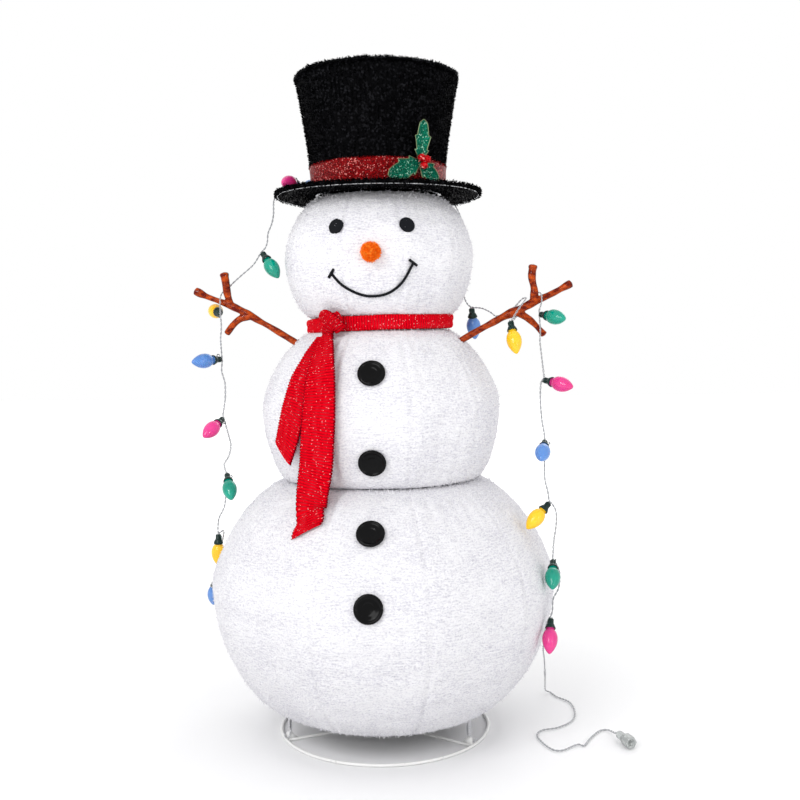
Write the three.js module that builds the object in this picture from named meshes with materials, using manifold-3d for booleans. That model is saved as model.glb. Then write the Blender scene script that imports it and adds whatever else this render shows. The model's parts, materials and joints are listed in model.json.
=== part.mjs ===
// Collapsible yard snowman: a white pile cover on a sprung wire frame that slides down a three-piece
// telescoping mast, with a tinsel hat, a knitted scarf, twig arms and a string of light bulbs.
// Millimetres, +Z up. Origin on the ground at the mast axis; the face looks along -Y.
import * as THREE from 'three';
import { mergeVertices } from 'three/addons/utils/BufferGeometryUtils.js';
import Module from 'manifold-3d';

const wasm = await Module();
wasm.setup();

// ---------------------------------------------------------------- driving dimensions
const FRONT = -Math.PI / 2; // bearing of the face, measured from +X about +Z

const GORES = 10; // cloth panels round each ball, with a rib under every seam
const COVER_SIDES = 20; // two facets to a gore
const GORE_SAG = 0.985; // mid-panel radius as a share of the radius at a seam
const COVER_THICKNESS = 4;

const BASE = { radius: 240, wire: 7, hubRadius: 22, hubHeight: 60, floor: 4 };
const SPOKE_BEARINGS = [87, 207, 327].map(THREE.MathUtils.degToRad);

// each ball: heights and radii of its bottom hoop, its widest ring and its top hoop, and how full it is
const LOWER_BALL = { z0: 53, r0: 184, zMid: 342, rMid: 392, z1: 576, r1: 218, full0: 1.9, full1: 1.5 };
const MIDDLE_BALL = { z0: 580, r0: 218, zMid: 743, rMid: 273, z1: 916, r1: 150, full0: 1.6, full1: 1.5 };
const HEAD = { z0: 944, r0: 150, zMid: 1088, rMid: 216, z1: 1216, r1: 140, full0: 1.75, full1: 1.6 };

const RIB_WIRE = 3.2;
const RIB_INSET = 7; // rib centreline inside the outer face of the cover
const HOOP_WIRE = 5;
const SLEEVE_BORE = 17; // slides over the widest mast tube
const SLEEVE_WALL = 2.2;

const MAST = [
  { name: 'mast_lower', z0: BASE.floor + 0.3, z1: 431, outer: 16, wall: 1.6 },
  { name: 'mast_middle', z0: 400, z1: 824, outer: 13, wall: 1.6 },
  { name: 'mast_upper', z0: 795, z1: 1229.5, outer: 10, wall: 1.5 },
];

const SHOULDER = { z: 878, radius: 187 };
const ARM_PLANE_Y = -50;
const ARM_SOCKET = { length: 26, inner: 7.8, outer: 10, slit: 13 };

const BRIM = { inner: 146, outer: 236, z0: 1220, z1: 1232 };
const CROWN = { z0: 1236, z1: 1490, r0: 150, flare: 38, power: 1.5, wall: 4 };
const BAND = { z0: 1237, z1: 1289, gap: 1.6, thickness: 2.4 };
const HOLLY_BEARING = THREE.MathUtils.degToRad(-53);

const BUTTON_HEIGHTS = [820, 642, 498, 368];
const BUTTON = { radius: 29.5, thickness: 8 };
const EYE = { radius: 17, thickness: 3, spread: THREE.MathUtils.degToRad(21.5), z: 1135 };
const NOSE = { z: 1079, radius: 24, length: 58 };
const MOUTH_WIRE = 6;

const SCARF = { radius: 167, z: 931.6, halfHeight: 15.5 };
const CORD = { diameter: 4.4, sides: 8 };
const BULB = { socket: 21, socketRadius: 9.5, lens: 59, lensRadius: 17, standOff: 6 };

// ---------------------------------------------------------------- geometry helpers

// merges shared corners, drops needle triangles and turns the faces outwards
function closed(geometry) {
  const bare = geometry.clone();
  bare.deleteAttribute('normal');
  bare.deleteAttribute('uv');
  const welded = mergeVertices(bare, 1e-3);
  const index = [];
  const all = welded.index.array;
  const at = welded.attributes.position;
  const corner = [new THREE.Vector3(), new THREE.Vector3(), new THREE.Vector3()];
  let volume = 0;
  for (let i = 0; i < all.length; i += 3) {
    const [a, b, c] = [all[i], all[i + 1], all[i + 2]];
    if (a === b || b === c || c === a) continue;
    index.push(a, b, c);
    corner.forEach((point, k) => point.fromBufferAttribute(at, all[i + k]));
    volume += corner[0].dot(corner[1].clone().cross(corner[2]));
  }
  if (volume < 0) index.reverse();
  welded.setIndex(index);
  return welded;
}

function solid(geometry) {
  const mesh = closed(geometry);
  return new wasm.Manifold(new wasm.Mesh({
    numProp: 3,
    vertProperties: new Float32Array(mesh.attributes.position.array),
    triVerts: new Uint32Array(mesh.index.array),
  }));
}

function joined(geometries) {
  return fromSolid(geometries.map(solid).reduce((whole, piece) => whole.add(piece)));
}

function fromSolid(manifold) {
  const mesh = manifold.getMesh();
  const geometry = new THREE.BufferGeometry();
  geometry.setAttribute('position', new THREE.BufferAttribute(mesh.vertProperties, 3));
  geometry.setIndex(new THREE.BufferAttribute(mesh.triVerts, 1));
  return geometry;
}

// a solid of revolution about +Z from a closed outline of [radius, height] points
function turned(outline, sides) {
  const points = outline.map(([r, z]) => new THREE.Vector2(r, z));
  if (outline[0][0] > 0) points.push(points[0].clone());
  const geometry = new THREE.LatheGeometry(points, sides);
  geometry.rotateX(Math.PI / 2);
  return closed(geometry);
}

function tube(curve, radius, sides, steps) {
  const section = new THREE.Shape();
  for (let i = 0; i < sides; i += 1) {
    const angle = ((i + 0.5) / sides) * 2 * Math.PI;
    const [x, y] = [radius * Math.cos(angle), radius * Math.sin(angle)];
    if (i === 0) section.moveTo(x, y);
    else section.lineTo(x, y);
  }
  section.closePath();
  return closed(new THREE.ExtrudeGeometry(section, {
    steps, extrudePath: curve, bevelEnabled: false, curveSegments: 1,
  }));
}

function rod(from, to, radius, sides = 6) {
  return tube(new THREE.LineCurve3(from, to), radius, sides, 1);
}

function polar(radius, bearing, z) {
  return new THREE.Vector3(radius * Math.cos(bearing), radius * Math.sin(bearing), z);
}

// a line whose steps fall on its own points
function lineThrough(points) {
  const line = new THREE.CatmullRomCurve3(points);
  line.getPointAt = (share) => line.getPoint(share);
  line.getTangentAt = (share) => line.getTangent(share);
  return line;
}

// half of a bowed rib: radius at a share `t` of the way from the widest ring to a hoop
function bow(rEnd, rMid, t, full) {
  return rEnd + (rMid - rEnd) * (1 - Math.min(t, 1) ** full) ** (1 / full);
}

function ballRadius(ball, z) {
  if (z < ball.zMid) return bow(ball.r0, ball.rMid, (ball.zMid - z) / (ball.zMid - ball.z0), ball.full0);
  return bow(ball.r1, ball.rMid, (z - ball.zMid) / (ball.z1 - ball.zMid), ball.full1);
}

// how far the cloth is pulled in at a bearing: not at all on a seam, most in the middle of a panel
function goreShare(bearing) {
  return GORE_SAG + (1 - GORE_SAG) * Math.sin(((bearing - FRONT) * GORES) / 2) ** 2;
}

// the point of a ball's outline at a height, moved inwards square to the cover
function insideCover(ball, z, depth) {
  const tilt = outwardSlope(ball, z);
  return [ballRadius(ball, z) - depth * Math.cos(tilt), z - depth * Math.sin(tilt)];
}

// heights that crowd together where the outline turns in towards the hoops
function ballHeights(ball, perHalf) {
  const heights = [];
  for (let i = perHalf; i > 0; i -= 1) {
    const t = Math.sin((i / perHalf) * (Math.PI / 2));
    heights.push(ball.zMid - t * (ball.zMid - ball.z0));
  }
  for (let i = 0; i <= perHalf; i += 1) {
    const t = Math.sin((i / perHalf) * (Math.PI / 2));
    heights.push(ball.zMid + t * (ball.z1 - ball.zMid));
  }
  return heights;
}

function outwardSlope(ball, z) {
  const step = 2;
  const rise = (ballRadius(ball, z + step) - ballRadius(ball, z - step)) / (2 * step);
  return Math.atan(-rise); // tilt of the outward normal above the horizontal
}

// stands a mesh on a ball's cover: its own +Z along the outward normal, its +Y up the cover
function placeOnCover(mesh, ball, bearing, z, gap) {
  const tilt = outwardSlope(ball, z);
  const normal = polar(Math.cos(tilt), bearing, Math.sin(tilt));
  const across = new THREE.Vector3(-Math.sin(bearing), Math.cos(bearing), 0);
  const up = new THREE.Vector3().crossVectors(normal, across);
  mesh.matrixAutoUpdate = false;
  mesh.matrix.makeBasis(across, up, normal);
  const radius = ballRadius(ball, z) * goreShare(bearing);
  mesh.matrix.setPosition(polar(radius, bearing, z).addScaledVector(normal, gap));
}

// ---------------------------------------------------------------- finishes
const finish = (color, roughness, metalness = 0) => ({ color, roughness, metalness });
const FINISH = {
  whiteSteel: finish('#e9e9e7', 0.4, 0.1),
  springSteel: finish('#c9ccd0', 0.35, 0.8),
  aluminium: finish('#b9bcc0', 0.35, 0.9),
  pile: finish('#ecebf2', 0.95),
  blackTinsel: finish('#0d0d10', 0.5),
  redGlitter: finish('#b80f16', 0.35),
  greenGlitter: finish('#0c5b3a', 0.4),
  redBead: finish('#d0151c', 0.3),
  felt: finish('#26282c', 0.95),
  orangeTinsel: finish('#f05a12', 0.5),
  blackGloss: finish('#08080a', 0.12),
  redKnit: finish('#dc1020', 0.9),
  amberPlastic: finish('#a85018', 0.25),
  clearWire: finish('#cfd2d3', 0.3),
  webbing: finish('#dfdfe2', 0.9),
  clearPlastic: finish('#d6dad8', 0.2),
  pink: finish('#e0489c', 0.15),
  green: finish('#0a9a7c', 0.15),
  yellow: finish('#f2b90f', 0.15),
  blue: finish('#5b8fe0', 0.15),
};

const snowman = new THREE.Group();

function add(name, geometry, look, parent = snowman) {
  const mesh = new THREE.Mesh(geometry, new THREE.MeshStandardMaterial(look));
  mesh.name = name;
  parent.add(mesh);
  return mesh;
}

// ---------------------------------------------------------------- stand and mast

// a hoop of wire with a flat under-side, so that it rests on the ground
function flatHoop(radius, wire) {
  const half = wire / 2;
  const chamfer = wire * 0.3;
  return turned([
    [radius - half, half], [radius - half + chamfer, 0], [radius + half - chamfer, 0],
    [radius + half, half], [radius + half - chamfer, wire], [radius - half + chamfer, wire],
  ], 30);
}

function bar(length, width, height) {
  return new THREE.BoxGeometry(length, width, height).translate(length / 2, 0, height / 2);
}

function makeStand() {
  const { radius, wire, hubRadius, hubHeight, floor } = BASE;
  const bore = MAST[0].outer + 0.5;
  const hub = turned([
    [0, 0], [hubRadius, 0], [hubRadius, hubHeight], [bore, hubHeight], [bore, floor], [0, floor],
  ], 16);
  const pieces = [flatHoop(radius, wire), hub];
  for (const bearing of SPOKE_BEARINGS) {
    const spoke = bar(radius - hubRadius + 2, wire - 1, wire - 1).translate(hubRadius - 2, 0, 0);
    const gusset = bar(16, 3, 20).translate(radius - 19, 0, 0);
    pieces.push(spoke.rotateZ(bearing), gusset.rotateZ(bearing));
  }
  add('base_ring', joined(pieces), FINISH.whiteSteel);
}

function makeMast() {
  for (const { name, z0, z1, outer, wall } of MAST) {
    const outline = [[outer - wall, z0], [outer, z0], [outer, z1], [outer - wall, z1]];
    add(name, turned(outline, 12), FINISH.aluminium);
  }
}

// a hoop carried by three spokes on a sleeve that slides on the mast
function spokedHoop(name, radius, z, sleeveZ, sleeveLength) {
  const hoop = new THREE.TorusGeometry(radius, HOOP_WIRE / 2, 4, 24).translate(0, 0, z);
  const outer = SLEEVE_BORE + SLEEVE_WALL;
  const sleeve = turned([
    [SLEEVE_BORE, sleeveZ], [outer, sleeveZ], [outer, sleeveZ + sleeveLength],
    [SLEEVE_BORE, sleeveZ + sleeveLength],
  ], 12);
  const pieces = [hoop, sleeve];
  for (const bearing of SPOKE_BEARINGS) {
    const inner = polar(outer - 1, bearing, sleeveZ + sleeveLength / 2);
    pieces.push(rod(inner, polar(radius, bearing, z), HOOP_WIRE / 2));
  }
  add(name, joined(pieces), FINISH.springSteel);
}

// ---------------------------------------------------------------- balls

// ten sprung ribs under the seams, tied together by a hoop at the widest ring
function makeRibs(name, ball) {
  const outline = ballHeights(ball, 4).slice(1, -1).map((z) => insideCover(ball, z, RIB_INSET));
  const girdle = new THREE.TorusGeometry(ball.rMid - RIB_INSET, RIB_WIRE / 2, 4, COVER_SIDES);
  const pieces = [goreSag(girdle.translate(0, 0, ball.zMid))];
  for (let i = 0; i < GORES; i += 1) {
    const bearing = FRONT + ((i + 0.5) / GORES) * 2 * Math.PI;
    const line = lineThrough(outline.map(([r, z]) => polar(r, bearing, z)));
    pieces.push(tube(line, RIB_WIRE / 2, 4, outline.length - 1));
  }
  add(name, joined(pieces), FINISH.springSteel);
}

// pulls the middle of each panel in from the seams on either side of it
function goreSag(geometry) {
  const at = geometry.attributes.position;
  for (let i = 0; i < at.count; i += 1) {
    const share = goreShare(Math.atan2(at.getY(i), at.getX(i)));
    at.setXY(i, at.getX(i) * share, at.getY(i) * share);
  }
  return geometry;
}

// a shell open at both hoops, with a slit wherever a rod in `through` passes
function makeCover(name, ball, through = []) {
  const heights = ballHeights(ball, 4);
  const outside = heights.map((z) => [ballRadius(ball, z), z]);
  const inside = heights.map((z) => insideCover(ball, z, COVER_THICKNESS)).reverse();
  const shell = closed(goreSag(turned([...outside, ...inside], COVER_SIDES)));
  const cut = through.reduce((whole, hole) => whole.subtract(solid(hole)), solid(shell));
  add(name, fromSolid(cut), FINISH.pile);
}

// ---------------------------------------------------------------- ties between cover and stand
function makeTie(index) {
  const bearing = SPOKE_BEARINGS[index];
  const strap = bar(2, 14, 34).translate(231, 0, 25);
  const wireLine = [[232, 27], [231, 22], [234, 15], [240, 12], [245, 15], [244, 19]];
  const points = wireLine.map(([r, z]) => new THREE.Vector3(r, 4.5, z));
  const hook = tube(new THREE.CatmullRomCurve3(points), 1.6, 5, 9);
  add(`tie_down_${index + 1}`, joined([strap, hook]).rotateZ(bearing), FINISH.webbing);
}

// ---------------------------------------------------------------- arms

// each side's twig: main stem, a twig that points down and one that points up
const ARMS = {
  left: {
    stem: [[-172, 881], [-294, 954], [-334, 976], [-418, 1012]],
    down: [[-294, 954], [-347, 913]],
    up: [[-334, 976], [-351, 1051]],
  },
  right: {
    stem: [[170, 881], [313, 955], [349, 973], [434, 1015]],
    down: [[313, 955], [373, 901]],
    up: [[349, 973], [350, 1057]],
  },
};

function armPoint([x, z]) {
  return new THREE.Vector3(x, ARM_PLANE_Y, z);
}

// a stem that keeps its thickness and ends in a dome
function twig(from, to, radius) {
  const end = new THREE.SphereGeometry(radius * 0.98, 7, 5).translate(to.x, to.y, to.z);
  return [rod(from, to, radius, 7), end];
}

function makeArm(side) {
  const stem = ARMS[side].stem.map(armPoint);
  const pieces = [];
  for (let i = 0; i + 1 < stem.length; i += 1) pieces.push(...twig(stem[i], stem[i + 1], i ? 8 : 7));
  pieces.push(...twig(...ARMS[side].down.map(armPoint), 9));
  pieces.push(...twig(...ARMS[side].up.map(armPoint), 9));
  add(`arm_${side}`, joined(pieces), FINISH.amberPlastic);
}

// the slit in the middle cover that an arm comes out of
function armSlit(side) {
  const [root, next] = ARMS[side].stem.map(armPoint);
  return rod(root, root.clone().lerp(next, 0.7), ARM_SOCKET.slit, 8);
}

// the hoop under the middle cover's shoulder, with a socket for the root of each arm
function makeShoulderHoop() {
  const ring = new THREE.TorusGeometry(SHOULDER.radius, HOOP_WIRE / 2, 4, 24);
  let whole = solid(ring.translate(0, 0, SHOULDER.z));
  for (const side of ['left', 'right']) {
    const [root, next] = ARMS[side].stem.map(armPoint);
    const along = next.clone().sub(root).normalize();
    const inner = root.clone().addScaledVector(along, -8);
    const outer = inner.clone().addScaledVector(along, ARM_SOCKET.length);
    const bottom = inner.clone().addScaledVector(along, 6);
    const beyond = outer.clone().addScaledVector(along, 40);
    const rim = polar(SHOULDER.radius, Math.atan2(root.y, root.x), SHOULDER.z);
    whole = whole.add(solid(rod(inner, outer, ARM_SOCKET.outer, 10)));
    whole = whole.add(solid(rod(rim, inner.clone().lerp(outer, 0.3), HOOP_WIRE / 2)));
    whole = whole.subtract(solid(rod(bottom, beyond, ARM_SOCKET.inner, 10)));
  }
  add('shoulder_hoop', fromSolid(whole), FINISH.springSteel);
}

// ---------------------------------------------------------------- hat
function crownRadius(z) {
  return CROWN.r0 + CROWN.flare * ((z - CROWN.z0) / (CROWN.z1 - CROWN.z0)) ** CROWN.power;
}

function levels(z0, z1, count) {
  return Array.from({ length: count + 1 }, (_, i) => z0 + ((z1 - z0) * i) / count);
}

function sleeve(z0, z1, count, innerOffset, outerOffset, radiusAt, sides) {
  const heights = levels(z0, z1, count);
  const outside = heights.map((z) => [radiusAt(z) + outerOffset, z]);
  const inside = heights.map((z) => [radiusAt(z) + innerOffset, z]).reverse();
  return turned([...outside, ...inside], sides);
}

function makeHat() {
  const { inner, outer, z0, z1 } = BRIM;
  const lip = 4;
  add('hat_brim', turned([
    [inner, z0], [outer - lip, z0], [outer, z0 + lip], [outer, z1 - lip], [outer - lip, z1], [inner, z1],
  ], 24), FINISH.blackTinsel);

  const crown = sleeve(CROWN.z0, CROWN.z1, 4, -CROWN.wall, 0, crownRadius, 20);
  add('hat_crown', crown, FINISH.blackTinsel);

  const bandInner = BAND.gap;
  const bandOuter = BAND.gap + BAND.thickness;
  const band = sleeve(BAND.z0, BAND.z1, 2, bandInner, bandOuter, crownRadius, 20);
  add('hat_band', band, FINISH.redGlitter);

  const top = CROWN.r0 + CROWN.flare;
  add('hat_top', turned([
    [0, CROWN.z1 + 0.5], [top - 3, CROWN.z1 + 0.5], [top, CROWN.z1 + 3], [top - 2, CROWN.z1 + 6],
    [0, CROWN.z1 + 6],
  ], 20), FINISH.blackTinsel);
}

// the hoop that carries the brim, with a cup that caps the mast
function makeHatHub() {
  const radius = BRIM.inner - HOOP_WIRE;
  const z = (BRIM.z0 + BRIM.z1) / 2;
  const bore = MAST[2].outer + 0.4;
  const mouth = BRIM.z0 - 1;
  const roof = MAST[2].z1 + 0.5;
  const cup = turned([
    [bore, mouth], [bore, roof], [0, roof], [0, roof + 3], [bore + 3, roof + 3], [bore + 3, mouth],
  ], 16);
  const hoop = new THREE.TorusGeometry(radius, HOOP_WIRE / 2, 4, 24).translate(0, 0, z);
  const spokes = SPOKE_BEARINGS.map((b) => rod(polar(bore + 2, b, z), polar(radius, b, z), HOOP_WIRE / 2));
  add('hat_hub', joined([cup, hoop, ...spokes]), FINISH.springSteel);
}

// half-outline of a holly leaf: points stand out between scallops
function hollyLeaf(length, width) {
  const lobes = 3;
  const side = [];
  for (let i = 0; i < lobes; i += 1) {
    const spike = (i + 0.62) / (lobes + 0.35);
    const notch = (i + 1) / (lobes + 0.35);
    const swell = Math.sin(Math.PI * (0.15 + 0.75 * spike));
    side.push([length * spike, (width / 2) * swell]);
    side.push([length * notch, (width / 2) * swell * 0.55]);
  }
  const shape = new THREE.Shape();
  shape.moveTo(0, -1.5);
  side.forEach(([x, y]) => shape.lineTo(x, -y));
  shape.lineTo(length, 0);
  side.reverse().forEach(([x, y]) => shape.lineTo(x, y));
  shape.lineTo(0, 1.5);
  shape.closePath();
  return new THREE.ExtrudeGeometry(shape, { depth: 2, bevelEnabled: false });
}

function makeHolly() {
  const leaves = [
    { turn: 92, length: 92, width: 36 },
    { turn: 208, length: 84, width: 36 },
    { turn: -42, length: 62, width: 34 },
  ];
  const placed = leaves.map(({ turn, length, width }) => (
    hollyLeaf(length, width).translate(-4, 0, 0).rotateZ(THREE.MathUtils.degToRad(turn))
  ));
  const stalk = new THREE.CylinderGeometry(7, 7, 2, 10).rotateX(Math.PI / 2).translate(0, 0, 1);
  const berryAt = [[-7, 7], [8, 6], [0, -8]];
  const berries = berryAt.map(([x, y]) => new THREE.SphereGeometry(8.5, 8, 6).translate(x, y, 11.5));

  // the sprig lies on a plane that touches the band, its own +Y up the crown
  const normal = polar(1, HOLLY_BEARING, -0.1).normalize();
  const across = new THREE.Vector3(-Math.sin(HOLLY_BEARING), Math.cos(HOLLY_BEARING), 0);
  const up = new THREE.Vector3().crossVectors(normal, across);
  const sprig = new THREE.Group();
  sprig.matrixAutoUpdate = false;
  sprig.matrix.makeBasis(across, up, normal);
  sprig.matrix.setPosition(polar(crownRadius(BAND.z1) + 11, HOLLY_BEARING, 1280));
  snowman.add(sprig);
  add('holly_leaves', joined([...placed, stalk]), FINISH.greenGlitter, sprig);
  add('holly_berries', joined(berries), FINISH.redBead, sprig);
}

// ---------------------------------------------------------------- face and buttons
function makeEye(name, side) {
  const disc = new THREE.CylinderGeometry(EYE.radius, EYE.radius, EYE.thickness, 16);
  const eye = add(name, closed(disc.rotateX(Math.PI / 2)), FINISH.felt);
  placeOnCover(eye, HEAD, FRONT + side * EYE.spread, EYE.z, EYE.thickness / 2 + 1);
}

function makeNose() {
  const { radius, length } = NOSE;
  const cone = turned([
    [0, 0], [radius * 0.9, 0], [radius, length * 0.12], [radius * 0.72, length * 0.5],
    [radius * 0.4, length * 0.85], [radius * 0.2, length * 0.98], [0, length],
  ], 12);
  const nose = add('nose', cone, FINISH.orangeTinsel);
  placeOnCover(nose, HEAD, FRONT, NOSE.z, 2.5);
}

// the smile follows the head: lowest in the middle, its right end a little higher than its left
function makeMouth() {
  const gap = MOUTH_WIRE / 2 + 1.2;
  const onHead = (degrees, z) => (
    polar(ballRadius(HEAD, z) + gap, FRONT + THREE.MathUtils.degToRad(degrees), z)
  );
  const smile = [[-24, 1036], [-18, 1012], [-9, 994], [0, 988], [10, 994], [18, 1016], [24, 1055]];
  const line = new THREE.CatmullRomCurve3(smile.map((p) => onHead(...p)));
  const leftTick = rod(onHead(-26, 1030), onHead(-22.5, 1044), MOUTH_WIRE / 2);
  const rightTick = rod(onHead(22, 1061), onHead(26, 1051), MOUTH_WIRE / 2);
  add('mouth', joined([tube(line, MOUTH_WIRE / 2, 6, 14), leftTick, rightTick]), FINISH.felt);
}

// a domed coal with a raised rim and a dished face
function makeButton(index) {
  const z = BUTTON_HEIGHTS[index];
  const ball = z > MIDDLE_BALL.z0 ? MIDDLE_BALL : LOWER_BALL;
  const { radius, thickness } = BUTTON;
  const disc = turned([
    [0, 0], [radius * 0.94, 0], [radius, thickness * 0.4], [radius * 0.94, thickness * 0.9],
    [radius * 0.84, thickness], [radius * 0.7, thickness * 0.75], [radius * 0.35, thickness * 0.55],
    [0, thickness * 0.5],
  ], 16);
  const button = add(`button_${index + 1}`, disc, FINISH.blackGloss);
  placeOnCover(button, ball, FRONT, z, 1.5);
}

// ---------------------------------------------------------------- scarf
function makeScarfCollar() {
  const { radius, z, halfHeight } = SCARF;
  add('scarf_collar', turned([
    [radius - 1, z - halfHeight], [radius + 3, z - halfHeight * 0.4], [radius + 3, z + halfHeight * 0.4],
    [radius - 1, z + halfHeight], [radius - 4, z + halfHeight], [radius - 18, z + 11.5],
    [radius - 18, z - 15.5], [radius - 5, z - halfHeight - 0.5],
  ], 24), FINISH.redKnit);
}

// a flat band of cloth along a line of [bearing in degrees, radius, height, half width] points
function clothTail(line, thickness) {
  const corners = [];
  line.forEach(([degrees, radius, z, half], i) => {
    const bearing = THREE.MathUtils.degToRad(degrees);
    const here = polar(radius, bearing, z);
    const before = line[Math.max(i - 1, 0)];
    const after = line[Math.min(i + 1, line.length - 1)];
    const along = polar(after[1], THREE.MathUtils.degToRad(after[0]), after[2])
      .sub(polar(before[1], THREE.MathUtils.degToRad(before[0]), before[2])).normalize();
    const out = polar(1, bearing, 0);
    const across = new THREE.Vector3().crossVectors(along, out).normalize();
    const face = new THREE.Vector3().crossVectors(across, along).normalize().multiplyScalar(thickness / 2);
    across.multiplyScalar(half);
    corners.push(here.clone().sub(across).sub(face), here.clone().add(across).sub(face));
    corners.push(here.clone().add(across).add(face), here.clone().sub(across).add(face));
  });
  const index = [0, 1, 2, 0, 2, 3];
  for (let i = 0; i + 1 < line.length; i += 1) {
    for (let k = 0; k < 4; k += 1) {
      const [a, b] = [4 * i + k, 4 * i + ((k + 1) % 4)];
      index.push(a, a + 4, b, b, a + 4, b + 4);
    }
  }
  const last = 4 * (line.length - 1);
  index.push(last, last + 2, last + 1, last, last + 3, last + 2);
  const geometry = new THREE.BufferGeometry().setFromPoints(corners);
  geometry.setIndex(index);
  return closed(geometry);
}

const KNOT = { bearing: THREE.MathUtils.degToRad(-119), radius: 193, z: 932, size: [16, 30, 27] };

function makeScarf() {
  makeScarfCollar();
  const [depth, width, height] = KNOT.size;
  const knot = new THREE.SphereGeometry(1, 12, 8).scale(depth, width, height).rotateZ(KNOT.bearing);
  const centre = polar(KNOT.radius, KNOT.bearing, KNOT.z);
  add('scarf_knot', closed(knot.translate(...centre)), FINISH.redKnit);

  const longTail = [
    [-117, 231, 893, 19], [-114, 248, 868, 28], [-112, 281, 812, 34], [-112, 290, 755, 37],
    [-113, 290, 695, 39], [-114, 288, 637, 39], [-116, 288, 578, 38], [-116.5, 289, 547, 38],
    [-115, 308, 524, 35], [-114, 323, 508, 29],
  ];
  add('scarf_tail_long', clothTail(longTail, 6), FINISH.redKnit);
  const shortTail = [
    [-122, 217, 890, 14], [-123, 233, 866, 20], [-124, 250, 838, 27], [-125, 265, 808, 31],
    [-127, 280, 753, 35], [-132, 281, 691, 37], [-135, 281, 660, 37],
  ];
  add('scarf_tail_short', clothTail(shortTail, 6), FINISH.redKnit);
}

// ---------------------------------------------------------------- light string
const PLUG = { from: [522, -77, 14], to: [544, -134, 14] };

// the cord's line from the last bulb, down the far side, to the plug
const CORD_ROUTE = [
  [-423, 116, 317], [-418, 112, 345], [-410, 108, 380], [-399, 98, 415], [-393, 80, 438],
  [-401, 60, 437], [-397, 50, 471], [-386, 44, 492], [-378, 36, 510], [-370, 20, 559], [-365, 2, 585],
  [-370, 2, 608], [-358, -3, 628], [-352, -6, 654], [-356, -14, 681], [-360, -24, 707],
  [-364, -28, 725], [-358, -30, 761], [-358, -29, 800], [-365, -29, 826], [-364, -28, 852],
  [-363, -40, 883], [-360, -56, 903], [-356, -64, 929], [-357, -66, 955], [-357, -68, 986],
  [-357, -49, 1005], [-349, -28, 1015], [-338, -26, 1028], [-317, -24, 1047], [-289, -20, 1072],
  [-272, -19, 1098], [-261, -17, 1111], [-257, -14, 1125], [-256, -8, 1145], [-249, 2, 1168],
  [-246, 10, 1191], [-247, 18, 1214], [-247, 40, 1232], [-232, 62, 1243], [-208, 50, 1262],
  [-189, 41, 1266], [-184, 64, 1258], [-184, 96, 1250], [-164, 119, 1262], [-158, 150, 1249],
  [-142, 178, 1239], [-36, 222, 1238], [8, 219, 1242], [30, 206, 1250], [98, 212, 1239],
  [128, 198, 1241], [142, 177, 1249], [164, 182, 1241], [184, 178, 1210], [197, 166, 1162],
  [197, 152, 1118], [196, 128, 1060], [195, 90, 1006], [200, 68, 982], [212, 52, 969], [236, 30, 965],
  [255, 6, 955], [271, -14, 945], [303, -28, 960], [325, -34, 982], [334, -50, 984], [328, -66, 976],
  [312, -74, 954], [300, -83, 935], [295, -60, 927], [306, -30, 936], [330, -26, 962], [348, -28, 984],
  [360, -34, 995], [365, -52, 995], [367, -66, 986], [366, -70, 972], [361, -68, 953], [362, -68, 932],
  [363, -68, 908], [362, -67, 887], [365, -68, 855], [369, -76, 813], [369, -80, 804], [362, -83, 794],
  [360, -85, 756], [363, -88, 710], [368, -90, 676], [367, -94, 624], [367, -96, 584], [373, -98, 556],
  [376, -99, 535], [382, -101, 529], [390, -106, 511], [389, -110, 481], [384, -112, 450],
  [382, -113, 426], [382, -108, 408], [392, -102, 392], [397, -104, 371], [392, -116, 345],
  [380, -124, 325], [377, -127, 296], [368, -124, 276], [364, -105, 251], [362, -60, 199],
  [369, 0, 152], [378, 100, 85], [383, 165, 44], [387, 202, 13], [400, 216, 3], [415, 182, 3],
  [442, 144, 3], [446, 77, 3], [431, 20, 3], [396, -19, 3], [361, -35, 3], [346, -64, 3],
  [355, -107, 3], [373, -144, 3], [394, -149, 3], [430, -116, 3], [444, -122, 3], [461, -83, 3],
  [487, -39, 3], [503, -30, 3], [513, -40, 5], [518, -61, 9], [521.3, -75.1, 13.6],
];

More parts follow.
